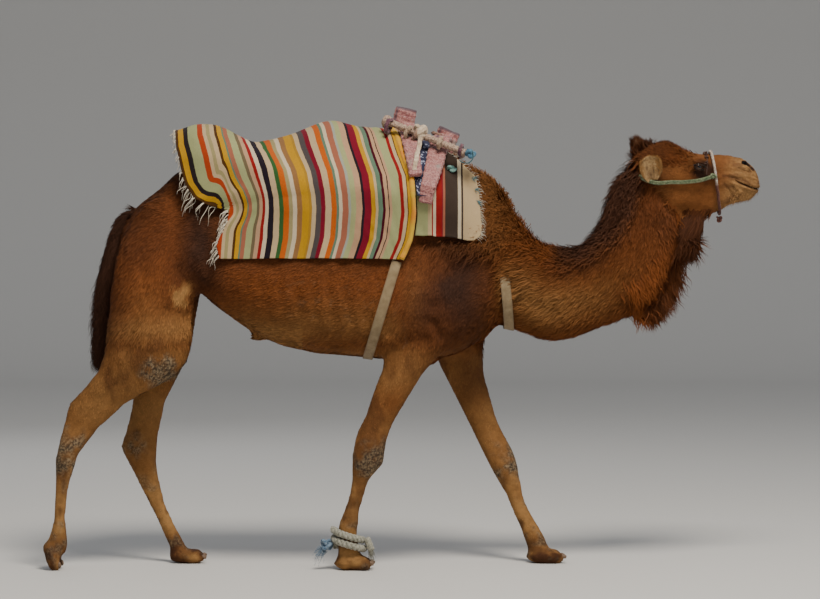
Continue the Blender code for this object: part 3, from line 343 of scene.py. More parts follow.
def remeshed(mesh, cell, rounds=0, factor=0.5):
    # one closed skin of cells round the mesh, smoothed
    thing = newObject("remeshing", mesh)
    step = thing.modifiers.new("cells", "REMESH")
    step.mode = "VOXEL"
    step.voxel_size = cell
    if rounds:
        calm = thing.modifiers.new("calm", "SMOOTH")
        calm.factor = factor
        calm.iterations = rounds
    return applied(thing)


def step01(value, low, high):
    # smooth step from 0 at low to 1 at high
    t = np.clip((value - low) / (high - low), 0.0, 1.0)
    return t * t * (3.0 - 2.0 * t)


def bell(value, centre, width):
    return np.exp(-(((value - centre) / width) ** 2))


def unit(vectors):
    return vectors / np.maximum(np.linalg.norm(vectors, axis=-1, keepdims=True), 1e-9)


def treeOf(names):
    form = bmesh.new()
    for name in names:
        form.from_mesh(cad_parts[name].data)
    tree = BVHTree.FromBMesh(form)
    form.free()
    return tree


def fogs(points, scale, seed, octaves=2):
    # smooth value noise in -1..1 from hashed lattice corners, whole arrays at once
    total = np.zeros(len(points))
    weight = 1.0
    for octave in range(octaves):
        p = points * scale * 2**octave + seed * 17.3
        base = np.floor(p).astype(np.int64)
        part = p - base
        part = part * part * (3 - 2 * part)
        value = 0.0
        for corner in range(8):
            pick = np.array([(corner >> k) & 1 for k in range(3)])
            cell = base + pick
            mixed = cell[:, 0] * 73856093 ^ cell[:, 1] * 19349663 ^ cell[:, 2] * 83492791
            hashed = ((mixed * 2654435761) % 4294967296) / 4294967296.0
            share = np.prod(np.where(pick, part, 1 - part), axis=1)
            value = value + share * hashed
        total += weight * (value * 2 - 1)
        weight *= 0.5
    return total


body = {
    "neckLine": [(0.360, 1.480), (0.455, 1.455), (0.560, 1.368), (0.665, 1.303), (0.772, 1.294),
                 (0.882, 1.324), (0.982, 1.378), (1.072, 1.440), (1.138, 1.540), (1.170, 1.645),
                 (1.191, 1.733), (1.215, 1.815)],
    "neckHalf": [0.350, 0.325, 0.270, 0.245, 0.230, 0.215, 0.235, 0.245, 0.220, 0.200, 0.180, 0.140],
    "headCut": ((1.190, 1.790), (0.814, 0.581)),
    "neckCut": ((0.470, 1.450), (0.990, -0.140)),
    "elbows": [(-0.018, -0.190, 1.120)],
    "stifles": [(-1.105, -0.205, 0.950), (-1.080, 0.205, 0.960)],
    "knees": [(-0.140, -0.150, 0.515), (0.520, 0.150, 0.490)],
    "hocks": [(-1.545, -0.160, 0.585), (-1.560, -0.160, 0.500), (-1.270, 0.160, 0.550)],
}


def beyond(p, cut):
    # signed distance ahead of a cutting plane given in x and z
    (x, z), (nx, nz) = cut
    return (p[:, 0] - x) * nx + (p[:, 2] - z) * nz


def neckPlace(p):
    # how far along the neck (0 chest, 1 head) and how far from its axis (1 crest, -1 throat)
    line = np.array(body["neckLine"])
    half = np.array(body["neckHalf"])
    fine = np.linspace(0, len(line) - 1, 80)
    index = np.arange(len(line))
    track = np.stack([np.interp(fine, index, line[:, k]) for k in (0, 1)], 1)
    reach = np.interp(fine, index, half)
    flat = p[:, [0, 2]]
    gap = np.linalg.norm(flat[:, None, :] - track[None], axis=2)
    near = gap.argmin(axis=1)
    along = np.gradient(track, axis=0)
    along /= np.linalg.norm(along, axis=1)[:, None]
    side = np.stack([-along[:, 1], along[:, 0]], 1)
    off = ((flat - track[near]) * side[near]).sum(1) / (reach[near] * 0.9)
    return near / 79.0, off, along[near]


def nearAny(p, spots, radius):
    # 1 at any of the spots, falling off over the radius
    best = np.zeros(len(p))
    for spot in spots:
        best = np.maximum(best, np.exp(-((np.linalg.norm(p - np.array(spot), axis=1) / radius) ** 2)))
    return best


def parts(p):
    # soft memberships of the body's regions
    head = step01(beyond(p, body["headCut"]), -0.015, 0.015)
    neck = step01(beyond(p, body["neckCut"]), -0.06, 0.06) * (1 - head) * step01(p[:, 2], 0.97, 1.05)
    low = step01(0.84 - p[:, 2], 0.0, 0.12)
    legs = step01(1.16 - p[:, 2], 0.0, 0.16) * np.maximum(low, step01(np.abs(p[:, 1]), 0.05, 0.085))
    legs *= 1 - np.maximum(neck, head)
    legs *= np.where((p[:, 0] > -0.93) & (p[:, 0] < -0.45), low, 1.0)
    return head, neck, legs


def patch(p, spots, radius, sharp, scale, seed):
    # blotches with a ragged rim round the spots
    near = nearAny(p, spots, radius)
    return np.clip((near + 0.30 * fogs(p, scale, seed, 3) - 0.45) * sharp, 0, 1)


def markings(p):
    # dark, pale, red and sandy shares at points of the body
    head, neck, legs = parts(p)
    x, y, z = p.T
    t, off, _ = neckPlace(p)
    drift = fogs(p, 7.0, 1) * 0.10
    cloudy = fogs(p, 4.0, 8, 3)
    trunk = (1 - head) * (1 - neck)
    dark = neck * step01(off + drift, 0.10, 0.75) * 0.92 * step01(t, 0.22, 0.45)
    dark = np.maximum(dark, neck * 0.80 * step01(-off + drift, 0.50, 1.0) * step01(t, 0.52, 0.66))
    dark = np.maximum(dark, neck * 0.66 * step01(t, 0.55, 0.95) * (0.7 + 0.5 * cloudy))
    rump = trunk * step01(-x, 0.95, 1.22) * step01(z, 1.30, 1.62)
    dark = np.maximum(dark, 0.88 * rump * (1 + 0.5 * cloudy))
    # painted shade down the back of the thighs, beside the tail
    dark = np.maximum(dark, 0.60 * bell(x, -1.36, 0.11) * step01(z, 0.92, 1.2))
    # painted shade in the groin, the hollow between the belly and the thigh
    groin = trunk * bell(x, -0.93, 0.14) * step01(z, 1.16, 1.34)
    dark = np.maximum(dark, 0.74 * groin * (1 + 0.5 * cloudy))
    shoulder = trunk * bell(x, 0.24, 0.20) * bell(z, 1.32, 0.30)
    dark = np.maximum(dark, 0.98 * shoulder * (1 + 0.5 * cloudy))
    # painted shadow of the blanket: a dark band along the flank just below its edge
    dark = np.maximum(dark, 0.50 * trunk * step01(x, -0.95, -0.80) * step01(0.2 - x, 0, 0.2)
                      * bell(z, 1.50, 0.10))
    # painted shade on the top of the far foreleg, under the chest
    dark = np.maximum(dark, 0.40 * legs * bell(z, 0.92, 0.16) * step01(x, 0.16, 0.36))
    crown = head * step01(1.36 - x, 0.0, 0.16) * step01(z, 1.84, 1.93)
    dark = np.maximum(dark, 0.42 * crown * (1 + 0.4 * cloudy))
    dark = np.maximum(dark, head * 0.30 * step01(1.30 - x, 0.0, 0.10))
    # dark skin round the eyes, with painted shade in the hollow of each eye
    q = p * np.array([0.85, 0.75, 1.0])
    eyes = nearAny(q, [(1.412 * 0.85, -0.072, 1.858), (1.412 * 0.85, 0.072, 1.858)], 0.043)
    dark = np.maximum(dark, head * np.minimum(1.0, eyes * 2.0))
    # painted shade inside the nostril slits, near black at their core
    gap, along = lineGap(p, skinShape["slit"])
    dark = np.maximum(dark, head * step01(0.0120 - gap, 0.0, 0.0050) * step01(np.abs(y), 0.010, 0.018))
    wing, _ = lineGap(p, np.array(skinShape["slit"]) - np.array([0.0085, 0.0105]))
    rim = head * bell(wing, 0.0, 0.0034) * step01(x, 1.585, 1.60)
    dark = dark * (1 - rim)
    black = head * step01(0.0105 * np.sqrt(1.02 - along) - gap, 0.0, 0.0035) * step01(np.abs(y), 0.010, 0.018)
    # painted shade along the line of the mouth, near black towards the front
    gap, _ = lineGap(p, skinShape["mouth"])
    dark = np.maximum(dark, 0.80 * head * step01(0.0065 - gap, 0.0, 0.0045) * step01(x, 1.55, 1.60))
    black = np.maximum(black, 0.6 * head * step01(0.0032 - gap, 0.0, 0.0022) * step01(x, 1.57, 1.62))
    # painted shade in the lip, cheek and nose folds
    for name, strength in (("lipFold", 0.55), ("cheekFold", 0.50), ("noseFold", 0.60)):
        gap, _ = lineGap(p, skinShape[name])
        dark = np.maximum(dark, strength * head * bell(gap, 0.0, 0.0085) * (0.6 + 0.6 * fogs(p, 30.0, 24, 2)))
    shaded = step01(fogs(p * np.array([1.0, 1.0, 2.2]), 26.0, 17, 3), 0.15, 0.80)
    dark = np.maximum(dark, 0.34 * head * step01(x, 1.46, 1.56) * shaded)
    muzzle = head * step01(x + (1.80 - z) * 0.25, 1.43, 1.60)
    pale = muzzle * (0.74 + 0.22 * fogs(p, 18.0, 2, 3))
    pale = np.maximum(pale, 0.30 * bell(x, 0.40, 0.14) * step01(z, 1.40, 1.60))
    lower = step01(0.95 - z, 0.0, 0.75) * legs
    pale = np.maximum(pale, 0.78 * lower * (1 + 0.40 * fogs(p, 9.0, 3, 3)))
    pale = np.maximum(pale, 0.36 * legs * step01(1.18 - z, 0.0, 0.25) * (1 + 0.6 * fogs(p, 6.0, 18, 3)))
    flank = patch(p, [(-1.005, -0.26, 1.290), (-1.005, 0.26, 1.290)], 0.085, 2.2, 26.0, 9)
    pale = np.maximum(pale, 0.85 * flank)
    pale = np.maximum(pale, 0.60
                      * patch(p, [(0.360, 0.080, 0.960), (-0.02, -0.075, 0.960)], 0.10, 2.0, 18.0, 19))
    pale = np.maximum(pale, np.maximum(rim, 0.15 * head))
    belly = trunk * (1 - legs) * bell(z, 1.10, 0.12) * step01(0.1 - x, 0.0, 0.2)
    pale = np.maximum(pale, 0.46 * belly * (1 + 0.5 * cloudy))
    pale = np.maximum(pale, trunk * 0.26 * bell(x, -1.17, 0.13) * bell(z, 1.14, 0.22) * (1 + 0.4 * cloudy))
    pale = np.maximum(pale, neck * 0.36 * bell(off, -0.25, 0.50) * bell(t, 0.32, 0.26) * (1 + 0.6 * cloudy))
    # painted highlight on the raised muscle just before the girth
    pale = np.maximum(pale, 0.30 * trunk * bell(x, 0.075, 0.06) * bell(z, 1.30, 0.14) * (1 + 0.5 * cloudy))
    pads = patch(p, body["elbows"], 0.085, 2.6, 30.0, 4)
    pads = np.maximum(pads, patch(p, body["stifles"], 0.120, 4.0, 20.0, 4))
    pads = np.maximum(pads, patch(p, body["knees"], 0.120, 3.0, 28.0, 4))
    pads = np.maximum(pads, patch(p, body["hocks"], 0.088, 2.6, 28.0, 4))
    sandy = pads * (0.85 + 0.30 * fogs(p, 60.0, 7))
    flecks = step01(fogs(p, 46.0, 14, 2), 0.42, 0.75) * trunk * bell(z, 1.24, 0.16) * bell(x, -0.30, 0.32)
    sandy = np.maximum(sandy, 0.16 * flecks)
    low = step01(0.66 - z, 0.0, 0.50) * legs
    mottled = step01(fogs(p, 26.0, 5, 3), 0.05, 0.60)
    sandy = np.maximum(sandy, 0.64 * low * mottled)
    foot = step01(0.16 - z, 0.0, 0.10)
    dark = np.maximum(dark, foot * 0.80 * step01(fogs(p, 20.0, 15, 3), -0.6, 0.3))
    dark = np.maximum(dark, 0.34 * legs
                      * step01(fogs(p * np.array([1.0, 1.0, 0.45]), 13.0, 25, 3), 0.05, 0.60))
    dark = np.maximum(dark, 0.50 * low * step01(fogs(p, 17.0, 16, 3), 0.25, 0.70))
    red = np.clip(0.45 + 0.7 * fogs(p, 3.0, 6), 0, 1) * (1 - 0.8 * lower)
    red = np.maximum(red, 0.9 * neck * bell(t, 0.90, 0.30))
    red = np.maximum(red, bell(x, 0.40, 0.20) * step01(z, 1.40, 1.62))
    return {
        "dark": np.clip(dark - 0.8 * flank, 0, 1),
        "pale": np.clip(pale, 0, 1) * (1 - np.clip(dark - 0.9 * flank, 0, 1)),
        "sandy": np.clip(np.maximum(sandy * (1 - 0.6 * head), 0.20 * muzzle), 0, 1),
        "black": np.clip(black, 0, 1),
        "red": np.clip(red, 0, 1),
    }


def coatDepth(p):
    # how deep the coat is between the skin and the outline, in metres
    head, neck, _ = parts(p)
    x, _, z = p.T
    t, off, _ = neckPlace(p)
    depth = 0.006 + 0.010 * neck
    depth = depth + neck * (0.030 * step01(off, 0.55, 1.0) + 0.040 * step01(-off, 0.55, 1.0)
                            * step01(t, 0.45, 0.65))
    shaggy = bell(x, 0.36, 0.16) * step01(z, 1.48, 1.75)
    depth = depth + 0.026 * shaggy * (1 - neck * 0.3)
    depth = depth * (1 - 0.5 * head) + 0.012 * head * bell(x, 1.20, 0.07) * step01(z, 1.88, 1.95)
    lower = step01(0.75 - z, 0.0, 0.35)
    return depth * (1 - 0.55 * lower)


coatColours = {
    "base": (0.110, 0.0325, 0.0070),
    "red": (0.165, 0.046, 0.0100),
    "dark": (0.029, 0.0128, 0.0078),
    "pale": (0.330, 0.172, 0.058),
    "sandy": (0.270, 0.190, 0.108),
    "callus": (0.060, 0.042, 0.028),
}


def coatColour(wire, shade, tip):
    place = wire.place()
    tint = wire.noise(place, 5.0, 4.0)
    grain = wire.noise(place, 60.0, 2.0)
    red = (wire.attribute("red") * 0.8 + tint * 0.5 - 0.2).clamped()
    colour = red.blend(coatColours["base"], coatColours["red"])
    colour = wire.attribute("pale").blend(colour, coatColours["pale"])
    sand = wire.attribute("sandy")
    cracks = wire.noise(place, 95.0, 4.0)
    crust = cracks.between(0.42, 0.64).blend(coatColours["callus"], coatColours["sandy"])
    colour = (sand * 1.1).clamped().blend(colour, crust)
    colour = (wire.attribute("dark") * 0.93).clamped().blend(colour, coatColours["dark"])
    # each tuft is a little lighter or darker than the next, and painted darker towards its root as painted
    # shade among the hairs
    level = (0.48 + shade * 0.72 + tip * 0.34) * (0.85 + grain * 0.30)
    return wire.shaded(colour, (level, level, level))


def skinLook(wire):
    place = wire.place()
    lay = wire.mapped(place, (26.0, 90.0, 60.0), (0.0, 0.45, 0.0))
    strands = wire.noise(lay, 3.2, 3.0)
    clumps = wire.noise(place, 34.0, 3.0)
    colour = coatColour(wire, clumps * 0.9 + strands * 0.5 - 0.25, 0.35)
    height = strands * 0.6 + clumps * 0.8
    # painted shade: near black where the black attribute marks the nostril slits and the mouth line
    colour = wire.attribute("black").blend(colour, (0.004, 0.003, 0.003))
    return {"Base Color": colour, "Normal": wire.bump(height, 0.004, 0.7)}


def tuftLook(wire):
    return {"Base Color": coatColour(wire, wire.attribute("shade"), wire.attribute("tip"))}


skinFinish = newMaterial("skinCoat", (0.2, 0.08, 0.03), 0.85, skinLook, 0.12)
tuftFinish = newMaterial("tufts", (0.2, 0.08, 0.03), 0.78, tuftLook, 0.12)


skinShape = {
    "cell": 0.0142,
    "grow": 0.0008,
    "rounds": 26,
    "eyeRadius": 0.026,
    "eyes": [(1.384, -0.088, 1.874), (1.384, 0.088, 1.874)],
    "lidWide": 0.0235,
    "lidHigh": 0.0120,
    "slit": [(1.603, 1.897), (1.622, 1.893), (1.640, 1.881), (1.650, 1.866)],
    "mouth": [(1.556, 1.818), (1.572, 1.806), (1.598, 1.795), (1.628, 1.783), (1.655, 1.775), (1.700, 1.771)],
    "lipFold": [(1.503, 1.834), (1.550, 1.825), (1.597, 1.815), (1.628, 1.799)],
    "lipPale": [(1.540, 1.811), (1.568, 1.778), (1.597, 1.747)],
    "cheekFold": [(1.512, 1.797), (1.545, 1.750), (1.564, 1.727)],
    "noseFold": [(1.568, 1.876), (1.606, 1.858), (1.634, 1.853)],
}


def calmed(points, edges, rounds, pull=0.5, push=-0.53):
    # Taubin smoothing: each round moves a point to its neighbours' mean and a little back
    count = len(points)
    a, b = edges.T
    degree = np.bincount(a, minlength=count) + np.bincount(b, minlength=count)
    degree = np.maximum(degree, 1)[:, None]
    for _ in range(rounds):
        for factor in (pull, push):
            total = np.zeros_like(points)
            for k in range(3):
                total[:, k] = np.bincount(a, points[b, k], count) + np.bincount(b, points[a, k], count)
            points = points + (total / degree - points) * factor
    return points


def edgesOf(mesh):
    edges = np.zeros(len(mesh.edges) * 2, np.int32)
    mesh.edges.foreach_get("vertices", edges)
    return edges.reshape(-1, 2)


def refined(mesh, near, size):
    # splits in four every face whose centre is wanted by near and that is wider than size
    form = bmesh.new()
    form.from_mesh(mesh)
    centres = np.array([f.calc_center_median() for f in form.faces])
    wanted = near(centres)
    form.faces.ensure_lookup_table()
    edges = set()
    for index in np.nonzero(wanted)[0]:
        for edge in form.faces[index].edges:
            if edge.calc_length() > size:
                edges.add(edge)
    bmesh.ops.subdivide_edges(form, edges=list(edges), cuts=1, use_grid_fill=True)
    bmesh.ops.triangulate(form, faces=[f for f in form.faces if len(f.verts) > 4])
    form.to_mesh(mesh)
    form.free()
    return mesh


def lineGap(p, line):
    # distance in the xz plane from points to a polyline, with how far along it is nearest
    line = np.array(line, float)
    fine = np.linspace(0, len(line) - 1, 12 * len(line))
    track = np.stack([np.interp(fine, np.arange(len(line)), line[:, k]) for k in (0, 1)], 1)
    gap = np.linalg.norm(p[:, None, [0, 2]] - track[None], axis=2)
    return gap.min(axis=1), fine[gap.argmin(axis=1)] / (len(line) - 1)


def ridge(p, facing, line, width, height):
    # a rounded ridge, or a groove if height is negative, along a line on the body's sides
    gap, along = lineGap(p, line)
    ends = step01(along, 0.0, 0.15) * step01(1 - along, 0.0, 0.15)
    return height * bell(gap, 0.0, width) * ends * facing


# lines in x and z, their width and height, below 0 for a groove
bodyRidges = [
    ([(0.02, 1.62), (0.045, 1.40), (0.00, 1.18), (-0.06, 1.06)], 0.028, -0.015),
    ([(0.30, 1.78), (0.22, 1.58), (0.20, 1.40), (0.14, 1.22)], 0.050, 0.010),
    ([(0.06, 1.40), (0.05, 1.26), (0.00, 1.12), (-0.03, 1.02)], 0.034, 0.010),
    ([(0.12, 1.20), (0.18, 1.10), (0.27, 1.06), (0.34, 1.10)], 0.024, -0.012),
    ([(0.34, 1.62), (0.40, 1.42), (0.42, 1.22), (0.38, 1.10)], 0.030, -0.009),
    ([(-0.86, 1.50), (-0.88, 1.36), (-0.94, 1.22), (-1.00, 1.10)], 0.032, -0.015),
    ([(-0.92, 1.52), (-1.00, 1.36), (-1.06, 1.20)], 0.045, 0.008),
    ([(-1.17, 1.46), (-1.20, 1.28), (-1.24, 1.10), (-1.30, 0.98)], 0.022, -0.010),
    ([(-1.28, 0.92), (-1.36, 0.80), (-1.46, 0.70), (-1.54, 0.62)], 0.016, -0.008),
    ([(-0.02, 0.98), (-0.06, 0.84), (-0.11, 0.68), (-0.14, 0.58)], 0.014, -0.007),
    ([(0.46, 1.40), (0.60, 1.26), (0.74, 1.20), (0.90, 1.26)], 0.030, -0.005),
    ([(0.62, 1.40), (0.80, 1.38), (0.98, 1.46), (1.08, 1.60)], 0.045, 0.005),
]


tendons = [
    [(-0.195, 0.42), (-0.222, 0.30), (-0.250, 0.20)],
    [(0.535, 0.40), (0.555, 0.31), (0.60, 0.20)],
    [(-1.565, 0.52), (-1.582, 0.36), (-1.600, 0.20)],
    [(-1.225, 0.46), (-1.190, 0.33), (-1.130, 0.20)],
]


def relief(p, n):
    # muscles, ribs, tendons and skin folds, as heights along the normals
    facing = step01(np.abs(n[:, 1]), 0.35, 0.75)
    trunk = step01(p[:, 2], 0.95, 1.05)
    height = np.zeros(len(p))
    for line, width, high in bodyRidges:
        height += ridge(p, facing, line, width, high)
    slope = p[:, 0] + 0.18 * p[:, 2]
    barrel = bell(p[:, 0], -0.38, 0.30) * bell(p[:, 2], 1.26, 0.15) * facing
    height += 0.0022 * barrel * np.sin(slope * 2 * math.pi / 0.075)
    height += 0.0040 * fogs(p, 5.0, 11) * trunk
    # loose skin in fine creases before the elbow and in the groin
    crease = nearAny(p, [(0.02, -0.2, 1.12), (0.02, 0.2, 1.12), (-0.93, -0.2, 1.2), (-0.93, 0.2, 1.2)], 0.10)
    height += 0.0020 * crease * np.sin((p[:, 2] + 0.5 * p[:, 0]) * 2 * math.pi / 0.024)
    # kneeling pads stand a little proud and are cracked
    pads = nearAny(p, body["elbows"] + body["stifles"], 0.050)
    pads = np.maximum(pads, nearAny(p, body["knees"] + body["hocks"], 0.045))
    height += pads * (0.004 + 0.0022 * fogs(p, 60.0, 12))
    # tendons down the cannon bones
    for line in tendons:
        height += ridge(p, facing, line, 0.0075, -0.0045)
    return height


headRidges = [
    ([(1.26, 1.76), (1.34, 1.785), (1.44, 1.800), (1.53, 1.815)], 0.014, -0.004),
    ([(1.22, 1.70), (1.32, 1.70), (1.42, 1.72)], 0.030, 0.004),
    ([(1.42, 1.850), (1.48, 1.850), (1.56, 1.860)], 0.012, -0.003),
    (skinShape["lipFold"], 0.0065, -0.0050),
    (skinShape["lipPale"], 0.0085, 0.0050),
    (skinShape["cheekFold"], 0.0070, -0.0045),
    (skinShape["noseFold"], 0.0055, -0.0045),
]


def headRelief(p, n):
    # nostrils, lips, jaw and cheek, as heights along the normals
    facing = step01(np.abs(n[:, 1]), 0.10, 0.45)
    snout = step01(p[:, 0], 1.50, 1.56)
    gap, along = lineGap(p, skinShape["slit"])
    shape = step01(along, 0.0, 0.25) * step01(1 - along, -0.05, 0.2)
    beside = step01(np.abs(p[:, 1]), 0.008, 0.020) * snout
    height = -0.021 * bell(gap, 0.0, 0.0062) * shape * beside
    height += 0.0050 * bell(gap, 0.0140, 0.0055) * shape * beside
    gap, along = lineGap(p, skinShape["mouth"])
    line = step01(along, 0.0, 0.12) * snout * step01(np.abs(n[:, 1]) + step01(p[:, 0], 1.62, 1.66), 0.1, 0.4)
    height += -0.0085 * bell(gap, 0.0, 0.0036) * line
    height += 0.0035 * bell(gap, 0.0130, 0.0080) * line
    cleft = bell(p[:, 1], 0.0, 0.0030) * step01(p[:, 0], 1.630, 1.655) * step01(p[:, 2], 1.775, 1.79)
    height += -0.0050 * cleft * step01(1.86 - p[:, 2], 0.0, 0.03)
    for line, width, high in headRidges:
        height += ridge(p, facing, line, width, high)
    folds = snout * facing * bell(p[:, 2], 1.835, 0.045)
    bend = 1.2 * fogs(p, 14.0, 22)
    height += 0.0008 * folds * np.sin((p[:, 0] * 0.35 + p[:, 2] * 0.9) * 2 * math.pi / 0.017 + 2.0 * bend)
    height += 0.0030 * folds * fogs(p * np.array([1.0, 1.0, 2.4]), 20.0, 23, 3)
    height += 0.0012 * fogs(p, 40.0, 21) * step01(p[:, 0], 1.30, 1.45)
    return height


def eyeFrame(side):
    # outward, forward and upward axes of an eye
    out = unit(np.array([0.22, side, 0.06]))
    ahead = np.array([1.0, 0.0, -0.22])
    ahead = unit(ahead - out * ahead.dot(out))
    return out, ahead, np.cross(ahead, out) * (1 if np.cross(ahead, out)[2] > 0 else -1)


def lidLevel(a, b):
    # 1 on the rim of the almond opening, less inside it
    high = np.where(b > 0, skinShape["lidHigh"], skinShape["lidHigh"] * 0.80)
    return (np.abs(a / skinShape["lidWide"]) ** 1.6 + np.abs(b / high) ** 1.6) ** (1 / 1.6)


def openEye(p, side):
    # opens the lids over the eyeball and lays them on it in folds
    radius = skinShape["eyeRadius"]
    centre = np.array(skinShape["eyes"][0 if side < 0 else 1])
    out, ahead, rise = eyeFrame(side)
    q = p - centre
    a, b, w = q @ ahead, q @ rise, q @ out
    level = lidLevel(a, b)
    distance = np.linalg.norm(q, axis=1)
    ways = q / distance[:, None]
    upper = step01(b, -0.004, 0.006)
    lid = radius + 0.0028 + 0.0042 * bell(level, 1.45, 0.30) * (0.5 + 0.5 * upper)
    lid -= 0.0030 * bell(level, 2.05, 0.16)
    lid += 0.0030 * bell(level, 2.45, 0.22) * upper
    lid -= 0.0020 * bell(level, 2.80, 0.14)
    rim = radius * (0.88 + 0.20 * step01(level, 0.98, 1.14))
    lid = np.where(level < 1.15, rim, lid)
    lid = np.where(level < 0.98, radius * 0.70, lid)
    share = np.where(level < 1.15, 1.0, 1 - step01(level, 2.2, 3.6)) * step01(w, 0.004, 0.010)
    return p + ways * ((lid - distance) * share)[:, None]


def makeSkin():
    mesh = remeshed(nodeMesh(fleshNodes + ["eye_right", "eye_left"], skinShape["grow"]), skinShape["cell"])
    eyes = np.array(skinShape["eyes"])

    def onHead(c):
        return beyond(c, body["headCut"]) > -0.02

    def onFace(c):
        return (c[:, 0] > 1.52) | (np.linalg.norm(c[:, None] - eyes[None], axis=2).min(axis=1) < 0.066)

    def fine(c):
        slit = (lineGap(c, skinShape["slit"])[0] < 0.018) & (c[:, 0] > 1.57)
        mouth = (lineGap(c, skinShape["mouth"])[0] < 0.009) & (c[:, 0] > 1.55)
        return slit | mouth | (np.linalg.norm(c[:, None] - eyes[None], axis=2).min(axis=1) < 0.045)

    writePoints(mesh, calmed(readPoints(mesh), edgesOf(mesh), skinShape["rounds"]))
    for near, size in ((onHead, 0.008), (onFace, 0.004), (fine, 0.002)):
        mesh = refined(mesh, near, size)
        points = readPoints(mesh)
        soft = calmed(points, edgesOf(mesh), 5)
        weight = near(points).astype(float)[:, None]
        writePoints(mesh, points + (soft - points) * weight)
    points, normals = readPoints(mesh), readNormals(mesh)
    head = parts(points)[0]
    heights = relief(points, normals) * (1 - head) + headRelief(points, normals) * head
    points = points + normals * (heights - coatDepth(points))[:, None]
    points[:, 2] = np.maximum(points[:, 2], 0.0)
    for side in (-1, 1):
        points = openEye(points, side)
    writePoints(mesh, points)
    triangulated(mesh)
    mesh.polygons.foreach_set("use_smooth", np.ones(len(mesh.polygons), bool))
    mesh.update()
    points = readPoints(mesh)
    for name, values in markings(points).items():
        setAttribute(mesh, name, values)
    skin = newObject("skin", mesh, skinFinish)
    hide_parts(*fleshNodes)
    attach(skin, "root")
    print("skin", len(mesh.polygons), "triangles")
    return skin


class Hide:
    # the skin as arrays of triangles that tufts can be scattered on
    def __init__(self, mesh):
        self.points = readPoints(mesh)
        self.normals = readNormals(mesh)
        corners = np.zeros(len(mesh.loops), np.int32)
        mesh.loops.foreach_get("vertex_index", corners)
        self.corners = corners.reshape(-1, 3)
        a, b, c = (self.points[self.corners[:, k]] for k in range(3))
        self.area = np.linalg.norm(np.cross(b - a, c - a), axis=1) / 2
        self.centres = (a + b + c) / 3

    def scatter(self, count, density):
        # random roots where density, relative to the area, asks for them
        weight = self.area * density(self.centres)
        share = np.cumsum(weight) / weight.sum()
        pick = np.searchsorted(share, random.random(count))
        pick = np.minimum(pick, len(share) - 1)
        u, v = np.sqrt(random.random(count)), random.random(count)
        mix = np.stack([1 - u, u * (1 - v), u * v], 1)[:, :, None]
        corner = self.corners[pick]
        root = (self.points[corner] * mix).sum(1)
        return root, unit((self.normals[corner] * mix).sum(1))


def flowAt(p):
    # the way the hair lies at points of the body, before it is laid on the surface
    head, neck, legs = parts(p)
    _, _, along = neckPlace(p)
    flow = np.tile(np.array([-1.0, 0.0, -0.45]), (len(p), 1))
    limb = np.maximum(bell(p[:, 0], 0.15, 0.22), bell(p[:, 0], -1.10, 0.22)) * step01(1.75 - p[:, 2], 0, 0.4)
    limb = limb[:, None]
    flow = flow * (1 - limb) + np.array([-0.30, 0.0, -1.0]) * limb
    legs = legs[:, None]
    flow = flow * (1 - legs) + np.array([-0.12, 0.0, -1.0]) * legs
    down = np.zeros_like(flow)
    down[:, 0], down[:, 2] = -along[:, 0], -along[:, 1]
    down = down * 0.75 + np.array([0.0, 0.0, -0.55])
    neck = neck[:, None]
    flow = flow * (1 - neck) + down * neck
    cheek = step01(1.83 - p[:, 2], 0.0, 0.10)[:, None]
    face = np.array([-1.0, 0.0, 0.06]) * (1 - cheek) + np.array([-0.85, 0.0, -0.5]) * cheek
    head = head[:, None]
    flow = flow * (1 - head) + face * head
    turn = fogs(p, 6.0, 31) * 0.35
    flow[:, 1] += turn
    flow[:, 2] += fogs(p, 9.0, 32) * 0.25
    return unit(flow)


def chart(p, kind):
    # an unwrap of the body round the axis of its part: the angle round it and the way along it
    x, y, z = p.T
    if kind == "neck":
        t, off, _ = neckPlace(p)
        return np.stack([np.arctan2(y, off * 0.2) / (2 * math.pi) + 0.5, t], 1)
    if kind == "head":
        return np.stack([np.arctan2(y, z - 1.81) / (2 * math.pi) + 0.5, (x - 1.05) / 0.66], 1)
    if kind in legLines:
        line = np.array(legLines[kind])
        middle = np.interp(z, line[:, 1], line[:, 0])
        turn = np.arctan2(y - math.copysign(0.145, line[0][2]), x - middle)
        return np.stack([turn / (2 * math.pi) + 0.5, z / 1.3], 1)
    return np.stack([np.arctan2(y, z - 1.45) / (2 * math.pi) + 0.5, (x + 1.45) / 2.2], 1)


# x and z of each leg's middle line from the floor up, and its side
legLines = {
    "foreRight": [
        (-0.240, 0.0, -1), (-0.248, 0.13, -1), (-0.206, 0.35, -1), (-0.150, 0.53, -1),
        (-0.060, 0.79, -1), (0.086, 1.08, -1), (0.200, 1.30, -1),
    ],
    "foreLeft": [
        (0.680, 0.0, 1), (0.645, 0.10, 1), (0.544, 0.32, 1), (0.480, 0.50, 1),
        (0.344, 0.78, 1), (0.268, 1.03, 1), (0.270, 1.30, 1),
    ],
    "hindRight": [
        (-1.610, 0.0, -1), (-1.600, 0.12, -1), (-1.585, 0.30, -1), (-1.550, 0.55, -1),
        (-1.400, 0.79, -1), (-1.180, 1.00, -1), (-1.150, 1.30, -1),
    ],
    "hindLeft": [
        (-1.040, 0.0, 1), (-1.070, 0.10, 1), (-1.175, 0.31, 1), (-1.240, 0.53, 1),
        (-1.190, 0.80, 1), (-1.150, 0.95, 1), (-1.130, 1.30, 1),
    ],
}


